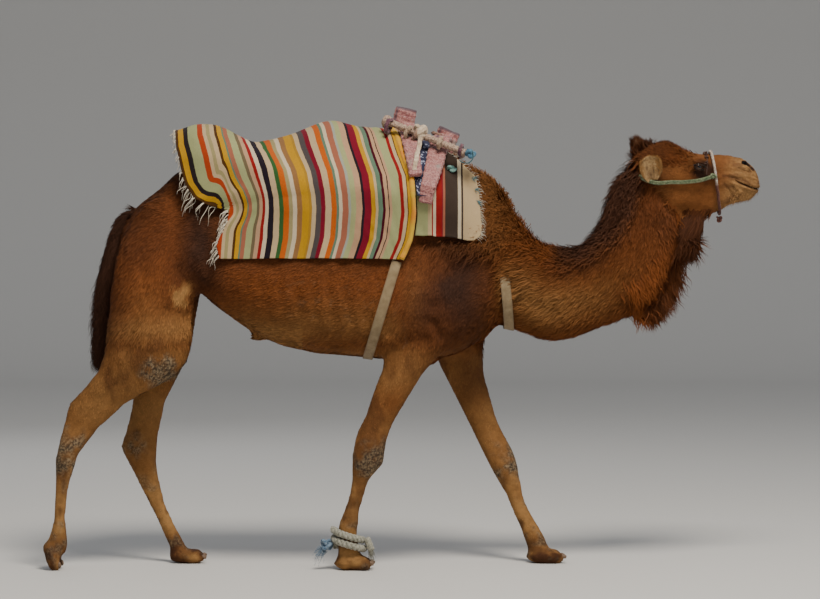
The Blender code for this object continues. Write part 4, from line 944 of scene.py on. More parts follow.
def makeTufts(name, roots, normals, lie, steps, kind, material, extra=None):
    # Each tuft is a tapering strip: a centre line that leaves the skin along the lie of the coat,
    # lifts, sags and waves, with a width across it that runs out to a point at its tip.
    count = len(roots)
    length, width, lift = (np.broadcast_to(lie[k], count) for k in ("length", "width", "lift"))
    flow = lie["flow"] - normals * (lie["flow"] * normals).sum(1, keepdims=True)
    flow = unit(flow)
    side = unit(np.cross(flow, normals))
    s = np.linspace(0, 1, steps + 1)[None, :, None]
    long = length[:, None, None]
    rise = lift[:, None, None]
    wave = np.broadcast_to(lie.get("wave", 0.0), count)[:, None, None]
    phase = random.random(count)[:, None, None] * 2 * math.pi
    turns = lie.get("turns", 1.0)
    sag = np.broadcast_to(lie.get("sag", 0.0), count)[:, None, None]
    path = roots[:, None, :] - normals[:, None, :] * 0.0015
    path = path + flow[:, None, :] * long * s * np.sqrt(np.maximum(1 - rise**2, 0.05))
    path = path + normals[:, None, :] * long * rise * (s - 0.45 * s * s)
    path = path - up * long * sag * s * s
    path = path + side[:, None, :] * long * wave * (np.sin(2 * math.pi * turns * s + phase)
                                                    - np.sin(phase)) * s
    half = (width[:, None] / 2 * (1 - s[0, :, 0][None] ** 1.6))[:, :, None]
    twist = jitter(count)[:, None, None] * lie.get("twist", 0.8)
    across = side[:, None, :] * np.cos(twist) + normals[:, None, :] * np.sin(twist)
    left = path[:, :-1] - across * half[:, :-1]
    right = path[:, :-1] + across * half[:, :-1]
    pairs = np.stack([left, right], 2).reshape(count, steps * 2, 3)
    points = np.concatenate([pairs, path[:, -1:]], 1)
    per = steps * 2 + 1
    base = (np.arange(count) * per)[:, None]
    quads = [np.array([2 * k, 2 * k + 1, 2 * k + 3, 2 * k + 2]) for k in range(steps - 1)]
    tip = np.array([2 * steps - 2, 2 * steps - 1, 2 * steps])
    faces = [(base + quad[None]) for quad in quads] + [base + tip[None]]
    points = points.reshape(-1, 3)
    points[:, 2] = np.maximum(points[:, 2], 0.0015)
    mesh = arrayMesh(name, points, faces)
    # the whole tuft takes a small patch of the unwrapped skin at its root
    where = np.clip(chart(roots, kind), 0.0, 1.0) * 0.990 + 0.005
    spread = np.stack([np.concatenate([np.tile([-1.0, 1.0], steps), [0.0]]),
                       np.concatenate([np.repeat(np.linspace(-1, 1, steps + 1)[:-1], 2), [1.0]])], 1)
    setUv(mesh, "OFBake", (where[:, None, :] + spread[None] * 0.0014).reshape(-1, 2))
    marks = markings(roots)
    for mark, value in (extra or {}).items():
        marks[mark] = np.broadcast_to(value(roots) if callable(value) else value, count)
    shade = np.clip(random.random(count) * 0.7 + 0.3 * (fogs(roots, 40.0, 41) * 0.5 + 0.5), 0, 1)
    for mark, values in marks.items():
        setAttribute(mesh, mark, np.repeat(values, per))
    setAttribute(mesh, "shade", np.repeat(shade, per))
    ends = np.concatenate([np.repeat(s[0, :-1, 0], 2), [1.0]])
    setAttribute(mesh, "tip", np.tile(ends, count))
    piece = newObject(name, mesh, material)
    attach(piece, "root")
    total = count * (2 * steps - 1)
    print(name, total, "triangles")
    return total


clothEdges = {
    "axis": 1.40,
    "blanketFront": [(-1.0, 0.005), (-0.8, 0.045), (-0.6, 0.062), (-0.4, 0.050), (-0.2, 0.000), (0.0, -0.045),
                     (0.2, 0.000), (0.4, 0.050), (0.6, 0.062), (0.8, 0.045), (1.0, 0.005)],
    "blanketRear": [(-1.0, -0.835), (-0.85, -0.850), (-0.77, -0.835), (-0.64, -0.800), (-0.56, -0.795),
                    (-0.53, -0.810), (-0.51, -0.885), (-0.48, -0.945), (-0.376, -1.000), (-0.2, -1.045),
                    (0.0, -1.065), (0.25, -1.05), (0.5, -1.00), (1.0, -0.93)],
    "blanketTurn": [(-1.0, 82.0), (-0.6, 84.0), (0.0, 84.0), (0.6, 84.0), (1.0, 82.0)],
    "clothFront": [(-1.0, 0.34), (-0.93, 0.370), (-0.8, 0.378), (-0.45, 0.366), (-0.36, 0.345), (-0.2, 0.23),
                   (0.0, 0.16), (0.2, 0.23), (0.36, 0.345), (0.45, 0.366), (0.8, 0.378), (1.0, 0.34)],
    "clothTurn": 62.0,
}


def read(table, where):
    table = np.array(table)
    return np.interp(where, table[:, 0], table[:, 1])


def covered(p, margin=0.03):
    # 1 where the blanket or the front cloth hides the coat, short of their edges by the margin
    turn = np.degrees(np.arctan2(p[:, 1], p[:, 2] - clothEdges["axis"]))
    inBack = (p[:, 0] < 0.4) & (p[:, 0] > -1.1)
    v = np.clip(turn / 84.0, -1, 1)
    rear = read(clothEdges["blanketRear"], v) + margin
    front = read(clothEdges["blanketFront"], v) - margin * 0.3
    under = (np.abs(turn) < 84.0 - margin * 90) & (p[:, 0] > rear) & (p[:, 0] < front + 0.02)
    v = np.clip(turn / clothEdges["clothTurn"], -1, 1)
    ahead = read(clothEdges["clothFront"], v) - margin
    under |= (np.abs(turn) < clothEdges["clothTurn"] - margin * 90) & (p[:, 0] >= front
            - 0.02) & (p[:, 0] < ahead)
    return (under & inBack).astype(float)


coat = {
    "trunk": {"count": 26500, "width": 0.0072, "lift": 0.28, "steps": 2},
    "withers": {"count": 11000, "width": 0.0056, "lift": 0.74, "steps": 4,
                "sag": 0.18, "wave": 0.11, "turns": 1.6, "twist": 1.6},
    "overStrap": {"count": 5000, "width": 0.0060, "lift": 0.46, "steps": 5,
                  "sag": 0.05, "wave": 0.07, "turns": 1.4, "twist": 1.6},
    "neck": {"count": 22500, "width": 0.0047, "lift": 0.40, "steps": 3, "wave": 0.13, "turns": 1.6,
             "twist": 1.6},
    "head": {"count": 34000, "width": 0.0034, "lift": 0.25, "steps": 2},
    "leg": {"count": 17000, "width": 0.0055, "lift": 0.22, "steps": 2},
    "mane": {"count": 11500, "width": 0.0050, "lift": 0.74, "steps": 5, "sag": 0.15, "wave": 0.09,
             "turns": 1.6},
    "beard": {"count": 9500, "width": 0.0050, "lift": 0.42, "steps": 6, "sag": 0.10, "wave": 0.07,
              "turns": 1.5},
    "throatTuft": {"count": 3500, "width": 0.0050, "lift": 0.22, "steps": 6,
                   "sag": 0.20, "wave": 0.07, "turns": 1.4},
    "forelock": {"count": 7000, "width": 0.0034, "lift": 0.70, "steps": 4, "wave": 0.10, "turns": 1.3},
    "crownSpike": {"count": 2200, "width": 0.0036, "lift": 0.90, "steps": 5, "wave": 0.06, "turns": 1.2},
    "brow": {"count": 700, "width": 0.0018, "lift": 0.55, "steps": 4, "wave": 0.08, "turns": 1.2},
    "lips": {"count": 650, "width": 0.0010, "lift": 0.85, "steps": 3, "sag": 0.15, "wave": 0.05,
             "turns": 1.0},
}


def addCoat(hide):
    total = 0

    def tufts(name, kind, values, roots, normals, lie, marks=None):
        nonlocal total
        lie.update({key: values[key] for key in ("sag", "wave", "turns", "twist") if key in values})
        total += makeTufts(name, roots, normals, lie, values["steps"], kind, tuftFinish, marks)

    def short(name, kind, values, density, length):
        # the coat proper: none of it lies under the cloths
        count = int(values["count"] * quickShare)
        roots, normals = hide.scatter(count, lambda c: density(c) * (1 - covered(c)))
        noise = 0.75 + 0.5 * random.random(len(roots))
        lie = {"flow": flowAt(roots), "length": length(roots) * noise, "width": values["width"] * noise,
               "lift": values["lift"] * (0.6 + 0.8 * random.random(len(roots)))}
        tufts(name, kind, values, roots, normals, lie)

    def region(c, which):
        head, neck, legs = parts(c)
        return {"head": head, "neck": neck, "legs": legs, "trunk": (1 - head) * (1 - neck)
                * (1 - legs)}[which]

    def bodyLength(p):
        shag = bell(p[:, 0], 0.36, 0.18) * step01(p[:, 2], 1.45, 1.75)
        belly = step01(1.12 - p[:, 2], 0.0, 0.1)
        return 0.022 + 0.050 * shag + 0.008 * belly + 0.010 * step01(-p[:, 0], 1.0, 1.3)

    for side, word in ((-1, "right"), (1, "left")):
        for ahead, zone in ((-1, "rear"), (1, "front")):
            def here(c, side=side, ahead=ahead):
                return region(c, "trunk") * (c[:, 1] * side >= 0) * ((c[:, 0] + 0.35) * ahead >= 0)
            short("coat_" + word + "_" + zone, "trunk", coat["trunk"], here, bodyLength)

    def shaggy(c):
        front = bell(c[:, 0], 0.39, 0.14) * step01(c[:, 2], 1.42, 1.68)
        return front * (1 - region(c, "head")) * (c[:, 0] > 0.10)
    short("coat_withers", "trunk", coat["withers"], shaggy, constant(0.088))

    def overStrap(c):
        line = 0.430 + (1.860 - c[:, 2]) * 0.101
        return bell(c[:, 0] - line, 0.055, 0.040) * step01(c[:, 2], 1.26, 1.36) * (c[:, 0] > line - 0.02)
    short("coat_over_strap", "trunk", coat["overStrap"], overStrap, constant(0.085))
    for side, word in ((-1, "right"), (1, "left")):
        short("coat_neck_" + word, "neck", coat["neck"],
              lambda c, side=side: region(c, "neck") * (c[:, 1] * side >= 0),
              lambda p: 0.042 + 0.012 * fogs(p, 8.0, 51))

    def faceLength(p):
        back = step01(1.45 - p[:, 0], 0.0, 0.28)
        crown = bell(p[:, 0], 1.25, 0.07) * step01(p[:, 2], 1.88, 1.95)
        return 0.007 + 0.010 * back + 0.018 * crown

    def faceDensity(c):
        eye = np.minimum.reduce([np.linalg.norm(c - np.array(e), axis=1) for e in skinShape["eyes"]])
        slit = (lineGap(c, skinShape["slit"])[0] < 0.010) & (c[:, 0] > 1.58)
        mouth = (lineGap(c, skinShape["mouth"])[0] < 0.005) & (c[:, 0] > 1.56)
        return region(c, "head") * step01(eye, 0.034, 0.045) * (1 - slit) * (1 - mouth)
    short("coat_head", "head", coat["head"], faceDensity, faceLength)
    limbs = {"foreRight": (0, -1), "foreLeft": (0, 1), "hindRight": (-1, -1), "hindLeft": (-1, 1)}
    for kind, (sx, sy) in limbs.items():
        def limb(c, sx=sx, sy=sy):
            fore = (c[:, 0] > -0.6) if sx == 0 else (c[:, 0] < -0.6)
            return region(c, "legs") * fore * (c[:, 1] * sy > 0) * (c[:, 2] > 0.045)
        short("coat_" + kind, kind, coat["leg"], limb, lambda p: 0.009 + 0.010 * step01(p[:, 2], 0.45, 1.0))

    # the long hair
    def crest(c):
        t, off, _ = neckPlace(c)
        return region(c, "neck") * step01(off, 0.35, 0.90) * step01(t, 0.06, 0.28)

    def strands(name, kind, values, density, length, flow, marks):
        roots, normals = hide.scatter(int(values["count"] * quickShare), density)
        noise = 0.55 + 0.75 * random.random(len(roots))
        lie = {"flow": flow(roots), "length": length(roots) * noise,
               "width": values["width"] * (0.6 + 0.8 * noise),
               "lift": values["lift"] * (0.6 + 0.7 * random.random(len(roots)))}
        tufts(name, kind, values, roots, normals, lie, marks)

    def crestFlow(p):
        _, _, along = neckPlace(p)
        flow = np.stack([-along[:, 0], np.zeros(len(p)), -along[:, 1]], 1)
        return unit(flow * 0.8 + np.array([-0.2, 0.0, -0.25]) + jitter(len(p), 3) * 0.7)
    strands("mane", "neck", coat["mane"], crest, lambda p: 0.062 + 0.042 * step01(neckPlace(p)[1], 0.6, 1.0),
            crestFlow, {"pale": 0.0})

    def throat(c):
        t, off, _ = neckPlace(c)
        return region(c, "neck") * step01(-off, 0.20, 0.80) * step01(t, 0.53, 0.64)

    def beardLength(p):
        low = step01(-neckPlace(p)[1], 0.5, 0.9)
        return 0.058 + 0.038 * low + 0.024 * bell(p[:, 2], 1.34, 0.11)
    strands("beard", "neck", coat["beard"], throat, beardLength, leaning([0.40, 0.0, -1.0], 0.55),
            {"pale": 0.0, "red": 0.85})

    def chin(c):
        under = step01(1.688 - c[:, 2], 0.0, 0.020) * step01(1.475 - c[:, 0], 0.0, 0.03) * step01(c[:, 0],
                1.30, 1.36)
        return region(c, "head") * under * step01(0.075 - np.abs(c[:, 1]), 0.0, 0.02)
    # dark hair under the chin, painted darker the lower its root as painted shade under the jaw
    strands("throat_tuft", "head", coat["throatTuft"], chin,
            lambda p: 0.050 + 0.062 * bell(p[:, 0], 1.37, 0.035), leaning([-0.42, 0.0, -1.0], 0.50),
            {"dark": lambda p: 0.42 + 0.36 * step01(1.690 - p[:, 2], 0.0, 0.040), "pale": 0.0})

    def crown(c):
        ear = np.linalg.norm(c - np.array([1.150, -0.120, 1.868]), axis=1)
        return region(c, "head") * bell(c[:, 0], 1.225, 0.075) * step01(c[:, 2], 1.87, 1.93) * step01(ear,
                0.055, 0.075)
    strands("forelock", "head", coat["forelock"], crown, constant(0.036), leaning([-1.0, 0.0, 0.3], 1.0),
            {"pale": 0.0})

    def spike(c):
        return region(c, "head") * bell(c[:, 0], 1.130, 0.030) * step01(c[:, 2], 1.88,
                1.92) * step01(c[:, 1], -0.02, 0.03)
    strands("crown_spike", "head", coat["crownSpike"], spike, constant(0.082),
            leaning([-0.35, 0.3, 0.9], 0.5),
            {"dark": 0.62, "pale": 0.0})

    def brow(c):
        return region(c, "head") * nearAny(c, [(1.352, -0.092, 1.885), (1.352, 0.092, 1.885)], 0.022)
    strands("brow_hair", "head", coat["brow"], brow, constant(0.022), leaning([-0.7, 0.0, -0.3], 0.9),
            {"pale": 0.10, "dark": 0.10})

    def lips(c):
        under = step01(1.775 - c[:, 2], 0.0, 0.01) * step01(c[:, 0], 1.50, 1.56)
        return region(c, "head") * np.maximum(under, 0.35 * step01(c[:, 0], 1.61, 1.65)
                                              * step01(1.83 - c[:, 2], 0, 0.02))
    strands("lip_hair", "head", coat["lips"], lips, constant(0.020), leaning([-0.4, 0.0, -1.0], 0.8),
            {"pale": 0.95, "dark": 0.0})
    print("coat", total, "triangles")


def frames(path, toward, closed=False):
    # side and other axes across a path; toward is a point or way that the side axis faces
    if closed:
        ahead = unit(np.roll(path, -1, axis=0) - np.roll(path, 1, axis=0))
    else:
        ahead = unit(np.gradient(path, axis=0))
    side = np.broadcast_to(np.asarray(toward, float), path.shape)
    side = unit(side - ahead * (side * ahead).sum(1, keepdims=True))
    return side, np.cross(ahead, side)


def sweep(path, toward, radius, sides=10, closed=False, squash=1.0):
    # A ring of the given radius, a number or an array by point and angle, at each point of the
    # path. squash flattens it along the side axis.
    side, other = frames(path, toward, closed)
    turn = np.linspace(0, 2 * math.pi, sides, endpoint=False)
    radius = np.broadcast_to(radius, (len(path), sides) if np.ndim(radius) < 2 else np.shape(radius))
    ring = np.cos(turn)[None, :, None] * side[:, None] * squash + np.sin(turn)[None, :, None] * other[:, None]
    points = (path[:, None] + ring * radius[:, :, None]).reshape(-1, 3)
    rows = np.arange(len(path) if closed else len(path) - 1)[:, None] * sides
    j = np.arange(sides)[None]
    k = (j + 1) % sides
    lift = np.roll(np.arange(len(path)), -1)[: len(rows)][:, None] * sides
    quads = np.stack([rows + j, rows + k, lift + k, lift + j], -1).reshape(-1, 4)
    if closed:
        return points, [quads]
    caps = np.arange(sides)[None]
    return points, [quads, caps[:, ::-1], caps + (len(path) - 1) * sides]


def joinParts(made):
    # several (points, faces) in one, with faces grouped by their number of corners
    points, groups, base = [], {}, 0
    for p, faces in made:
        points.append(p)
        for f in faces:
            groups.setdefault(f.shape[1], []).append(f + base)
        base += len(p)
    return np.concatenate(points), [np.concatenate(g) for g in groups.values()]


def outward(mesh):
    form = bmesh.new()
    form.from_mesh(mesh)
    bmesh.ops.recalc_face_normals(form, faces=form.faces)
    form.to_mesh(mesh)
    form.free()
    return mesh


def curveThrough(a, b, c, d, f):
    # Catmull-Rom at the share f of the way from b to c
    return 0.5 * (2 * b + (c - a) * f + (2 * a - 5 * b + 4 * c - d) * f**2 + (3 * b - a - 3 * c + d) * f**3)


def smoothPath(rows, count):
    # Catmull-Rom through the rows, read at evenly spaced parameters
    rows = np.asarray(rows, float)
    ends = np.vstack([2 * rows[0] - rows[1], rows, 2 * rows[-1] - rows[-2]])
    t = np.linspace(0, len(rows) - 1 - 1e-9, count)
    i = t.astype(int)
    f = (t - i)[:, None]
    a, b, c, d = (ends[i + k] for k in range(4))
    return curveThrough(a, b, c, d, f)


def evenly(path, step, closed=False):
    # the path read again at equal distances
    if closed:
        path = np.vstack([path, path[:1]])
    gaps = np.linalg.norm(np.diff(path, axis=0), axis=1)
    where = np.concatenate([[0], np.cumsum(gaps)])
    count = max(8, int(where[-1] / step))
    at = np.linspace(0, where[-1], count, endpoint=not closed)
    return np.stack([np.interp(at, where, path[:, k]) for k in range(3)], 1)


def laidRope(path, toward, radius, strands, pitch, closed=False, sides=8, plait=False):
    # Strands wound round the path once in each pitch, or crossing it in a flat plait.
    side, other = frames(path, toward, closed)
    gaps = np.linalg.norm(np.diff(path, axis=0), axis=1)
    where = np.concatenate([[0], np.cumsum(gaps)])
    length = where[-1] + (np.linalg.norm(path[0] - path[-1]) if closed else 0)
    turns = round(length / pitch) if closed else length / pitch
    made = []
    for k in range(strands):
        turn = where / length * turns * 2 * math.pi + 2 * math.pi * k / strands
        if plait:
            across = np.sin(turn) * radius * 0.85
            raised = np.sin(2 * turn) * radius * 0.38
            centre = path + other * across[:, None] + side * raised[:, None]
            thick = radius * 0.46
        else:
            centre = path + (side * np.cos(turn)[:, None] + other * np.sin(turn)[:, None]) * radius * 0.50
            thick = radius * 0.56
        taper = np.ones(len(path))
        if not closed:
            taper[[0, -1]] = 0.3
        made.append(sweep(centre, toward, (taper * thick)[:, None] * np.ones(sides), sides, closed))
    return joinParts(made)


def knotParts(centre, size, thick, turn=(0.0, 0.0, 0.0), sides=9):
    # a trefoil of rope drawn tight: three lobes that pass over and under each other
    t = np.linspace(0, 2 * math.pi, 72, endpoint=False)
    path = np.stack([np.sin(t) + 2 * np.sin(2 * t), np.cos(t) - 2 * np.cos(2 * t), -1.3 * np.sin(3 * t)],
                    1) / 3.0
    path = path * np.array(size)
    spin = np.array(Matrix.Rotation(turn[2], 3, "Z") @ Matrix.Rotation(turn[1], 3, "Y")
                    @ Matrix.Rotation(turn[0], 3, "X"))
    path = path @ spin.T + np.array(centre)
    return sweep(path, spin @ np.array([0.2, 0.3, 1.0]), thick, sides, True)


def place(name, made, material, slotName, replaced=(), shadeSmooth=True):
    points, faces = made
    piece = newObject(name, outward(arrayMesh(name, points, faces, shadeSmooth)), material)
    if replaced:
        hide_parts(*replaced)
    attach(piece, "root")
    return piece


blanket = {
    "rows": 200,
    "columns": 130,
    "thick": 0.0048,
    "weave": 0.0052,
}

wool = {
    "cream": (0.56, 0.47, 0.34),
    "olive": (0.36, 0.34, 0.20),
    "white": (0.66, 0.62, 0.54),
    "brown": (0.085, 0.040, 0.012),
    "tan": (0.30, 0.17, 0.080),
    "yellow": (0.55, 0.33, 0.020),
    "gold": (0.42, 0.26, 0.035),
    "navy": (0.018, 0.014, 0.028),
    "black": (0.022, 0.016, 0.022),
    "mint": (0.38, 0.45, 0.27),
    "green": (0.035, 0.130, 0.045),
    "teal": (0.130, 0.240, 0.200),
    "sky": (0.36, 0.42, 0.44),
    "slate": (0.085, 0.080, 0.100),
    "grey": (0.170, 0.145, 0.100),
    "orange": (0.560, 0.130, 0.016),
    "scarlet": (0.420, 0.060, 0.020),
    "red": (0.300, 0.015, 0.020),
    "crimson": (0.210, 0.010, 0.035),
    "maroon": (0.070, 0.006, 0.020),
    "pink": (0.380, 0.150, 0.110),
    "rose": (0.52, 0.36, 0.27),
    "charcoal": (0.055, 0.042, 0.040),
}

# stripes from the front edge back: colour and width in centimetres
blanketStripes = [
    ("yellow", 1.6), ("brown", 0.5), ("cream", 1.6), ("red", 1.8), ("mint", 3.6), ("rose", 1.3),
    ("black", 0.4),
    ("rose", 1.6), ("maroon", 1.2), ("teal", 2.0), ("cream", 1.2), ("yellow", 2.1), ("crimson", 3.0),
    ("navy", 1.2),
    ("rose", 2.9), ("mint", 2.1), ("sky", 1.5), ("pink", 2.4), ("white", 1.8), ("teal", 1.2), ("orange", 2.4),
    ("cream", 2.8), ("crimson", 2.0), ("slate", 2.1), ("cream", 2.0), ("gold", 1.2), ("yellow", 3.4),
    ("tan", 2.1),
    ("white", 2.1), ("olive", 2.0), ("orange", 2.4), ("green", 1.8), ("cream", 3.0), ("navy", 2.5),
    ("white", 2.0),
    ("red", 1.7), ("rose", 2.1), ("grey", 1.6), ("mint", 3.2), ("pink", 1.7), ("teal", 0.9), ("yellow", 1.8),
    ("brown", 1.3), ("cream", 2.1), ("olive", 1.4), ("cream", 1.6), ("scarlet", 2.3), ("mint", 4.6),
    ("black", 2.0),
    ("yellow", 2.4), ("brown", 1.6),
]
frontStripes = [
    ("cream", 8.2), ("charcoal", 0.9), ("white", 1.4), ("charcoal", 5.6), ("pink", 0.9), ("crimson", 0.5),
    ("red", 2.6),
    ("white", 1.2), ("red", 0.6), ("cream", 1.6), ("mint", 11.8),
]


def stripeColour(wire, across, stripes, span):
    # Stripes laid one after another along across, which runs 0 to 1 over the span in centimetres.
    # A ramp holds 30 stops, so a longer list is cut into several ramps.
    edge = 0.0
    stops = []
    for colour, wide in stripes:
        stops.append((min(edge / span, 1.0), wool[colour]))
        edge += wide
    shown = None
    for start in range(0, len(stops), 30):
        part = stops[start : start + 30]
        if start:
            part = [(0.0, part[0][1])] + part[1:]
        ramp = wire.node("ValToRGB", {"stops": part, "interpolation": "CONSTANT"}, {0: across})
        if shown is None:
            shown = ramp
        else:
            switch = wire.maths("GREATER_THAN", across, stops[start][0])
            shown = switch.blend(shown, ramp)
    return shown


def wovenLook(stripes, span):
    def look(wire):
        uv = wire.uv("weave")
        across, down, _ = wire.split(uv)
        slow = wire.noise(wire.mapped(uv, (3.0, 1.2, 1.0)), 3.0, 2.0)
        shaky = wire.noise(wire.mapped(uv, (60.0, 9.0, 1.0)), 4.0, 2.0)
        moved = across + (slow - 0.5) * 0.006 + (shaky - 0.5) * 0.0035
        colour = stripeColour(wire, moved, stripes, span)
        # a thick soft weft: ribs across the stripes, slubs and a few dark flecks along them
        ribs = wire.maths("SINE", down * (2 * math.pi / blanket["weave"]))
        warp = wire.maths("SINE", across * (2 * math.pi * span / 0.55))
        slubs = wire.noise(wire.mapped(uv, (260.0, 22.0, 1.0)), 3.0, 3.0)
        dirt = wire.noise(wire.place(), 11.0, 4.0)
        flecks = wire.noise(wire.mapped(uv, (150.0, 60.0, 1.0)), 6.0, 1.0).between(0.70, 0.78)
        level = 0.70 + slubs * 0.45 + dirt * 0.22 + ribs * warp * 0.05
        toned = wire.shaded(colour, (level * 0.73, level * 0.63, level * 0.49))
        toned = (flecks * 0.45).blend(toned, (0.10, 0.08, 0.05))
        height = ribs * 0.30 + warp * 0.18 + slubs * 0.8
        return {"Base Color": toned, "Normal": wire.bump(height, 0.0020, 0.55)}
    return look


def blurred(field, spread):
    # separable Gaussian blur with reflected edges
    reach = int(spread * 3)
    taps = np.exp(-0.5 * (np.arange(-reach, reach + 1) / spread) ** 2)
    taps /= taps.sum()
    for axis in (0, 1):
        pad = [(reach, reach) if k == axis else (0, 0) for k in (0, 1)]
        padded = np.pad(field, pad, mode="edge")
        field = sum(
            tap * np.take(padded, np.arange(field.shape[axis]) + k, axis=axis) for k, tap in enumerate(taps)
        )
    return field


def drapedSheet(name, node, front, rear, turnAt, rows, columns, thick, wrinkle, stripes):
    # The outer face of the node is felt out by rays from the axis, then smoothed and
    # folded. Returns the mesh, and the grid of its points for fringes and rolls.
    tree = treeOf([node])
    v = np.linspace(-1, 1, columns)
    w = np.linspace(0, 1, rows)
    turn = np.radians(v * turnAt(v))
    ways = np.stack([np.zeros_like(turn), np.sin(turn), np.cos(turn)], 1)
    x = front(v)[None] + (rear(v) - front(v))[None] * w[:, None]
    inside = np.clip(w, 0.02, 0.98)
    feel = front(v)[None] + (rear(v) - front(v))[None] * inside[:, None]
    reach = np.zeros((rows, columns))
    step = 3
    iRows = sorted(set(list(range(0, rows, step)) + [rows - 1]))
    jColumns = sorted(set(list(range(0, columns, step)) + [columns - 1]))
    for i in iRows:
        for j in jColumns:
            way = Vector(ways[min(max(j, 2), columns - 3)])
            start = Vector((feel[i, j], 0, clothEdges["axis"])) + way * 1.2
            found = tree.ray_cast(start, -way, 1.2)
            reach[i, j] = 0.0 if found[0] is None else 1.2 - found[3]
    coarse = reach[np.ix_(iRows, jColumns)]
    for _ in range(12):
        gap = coarse < 0.05
        if not gap.any():
            break
        padded = np.pad(coarse, 1)
        best = np.max([padded[1 + a : 1 + a + coarse.shape[0], 1 + b : 1 + b + coarse.shape[1]]
                       for a in (-1, 0, 1) for b in (-1, 0, 1)], axis=0)
        coarse = np.where(gap, best, coarse)
    coarse = blurred(coarse, 1.1)
    tall = np.stack([np.interp(np.arange(rows), iRows, coarse[:, k]) for k in range(len(jColumns))], 1)
    reach = np.stack([np.interp(np.arange(columns), jColumns, tall[i]) for i in range(rows)], 0)
    reach = blurred(reach, 2.2) - thick
    outs = np.broadcast_to(ways[None], (rows, columns, 3))
    base = np.stack([x, np.zeros_like(x), np.full_like(x, clothEdges["axis"])], -1)
    points = base + outs * reach[:, :, None]
    lift = wrinkle(points.reshape(-1, 3)).reshape(rows, columns)
    points = points + outs * lift[:, :, None]
    grid = np.arange(rows * columns).reshape(rows, columns)
    quads = np.stack([grid[:-1, :-1], grid[1:, :-1], grid[1:, 1:], grid[:-1, 1:]], -1).reshape(-1, 4)
    mesh = arrayMesh(name, points.reshape(-1, 3), quads)
    # weave: how far back from the front edge as a share of the stripes, and how far down in metres
    down = np.cumsum(np.concatenate([np.zeros((rows, 1)), np.linalg.norm(np.diff(points, axis=1), axis=2)],
                                    1), axis=1)
    across = stripes(points, w[:, None], v[None])
    setUv(mesh, "weave", np.stack([across, down], -1).reshape(-1, 2))
    return mesh, points


def thicken(piece, thick):
    wall = piece.modifiers.new("wall", "SOLIDIFY")
    wall.thickness = thick
    wall.offset = 0.0
    graph = bpy.context.evaluated_depsgraph_get()
    piece.data = bpy.data.meshes.new_from_object(piece.evaluated_get(graph))
    piece.modifiers.clear()


def finishSheet(name, mesh, material, replaced, thick):
    # gives the sheet its thickness
    piece = newObject(name, mesh, material)
    thicken(piece, thick)
    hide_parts(replaced)
    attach(piece, "root")
    return piece


def sheetSize(points):
    # width and length of a grid of points laid flat, and its area
    across = np.linalg.norm(np.diff(points, axis=0), axis=2).sum(0).max()
    down = np.linalg.norm(np.diff(points, axis=1), axis=2).sum(1).max()
    a = points[1:, :-1] - points[:-1, :-1]
    b = points[:-1, 1:] - points[:-1, :-1]
    c = points[1:, 1:] - points[1:, :-1]
    d = points[1:, 1:] - points[:-1, 1:]
    area = (np.linalg.norm(np.cross(a, b), axis=2).sum() + np.linalg.norm(np.cross(c, d), axis=2).sum()) / 2
    return across, down, area


def yarns(name, starts, ways, length, thick, material, slotName, loose=0.35):
    # A fringe: each yarn is a thin three-sided tube that leaves the cloth and falls, with a bend.
    count = len(starts)
    s = np.linspace(0, 1, 7)[None, :, None]
    spread = (random.random((count, 1, 3)) - 0.5) * loose
    long = (length * (0.55 + 0.8 * random.random(count)))[:, None, None]
    curl = (random.random((count, 1, 3)) - 0.5) * 0.35
    path = starts[:, None] + (ways[:, None] + spread) * long * s * (1 - 0.35 * s)
    path = path - up * long * 0.55 * s * s + curl * long * np.sin(s * math.pi * 1.6)
    side = unit(np.cross(unit(ways + 1e-3), [0.3, 0.2, 1.0]))[:, None, None]
    other = unit(np.cross(side[:, 0, 0], ways))[:, None, None]
    turn = np.arange(3) * 2 * math.pi / 3
    ring = np.cos(turn)[None, None, :, None] * side + np.sin(turn)[None, None, :, None] * other
    radius = thick * (1 - 0.5 * s[:, :, 0])[:, :, None, None]
    points = (path[:, :, None] + ring * radius).reshape(-1, 3)
    base = (np.arange(count) * 21)[:, None, None, None]
    i = (np.arange(6) * 3)[None, :, None, None]
    j = np.arange(3)[None, None, :, None]
    k = (j + 1) % 3
    quads = np.concatenate([base + i + j, base + i + k, base + i + 3 + k, base + i + 3 + j],
                           -1).reshape(-1, 4)
    ends = (np.arange(count) * 21)[:, None]
    caps = np.concatenate([ends + np.array([[2, 1, 0]]), ends + np.array([[18, 19, 20]])])
    return place(name, (points, [quads, caps]), material, slotName)


def hit(tree, origin, way, far):
    # distance from the origin to the outermost surface along the way
    way = Vector(way).normalized()
    found = tree.ray_cast(Vector(origin) + way * far, -way, far)
    return 0.0 if found[0] is None else far - found[3]


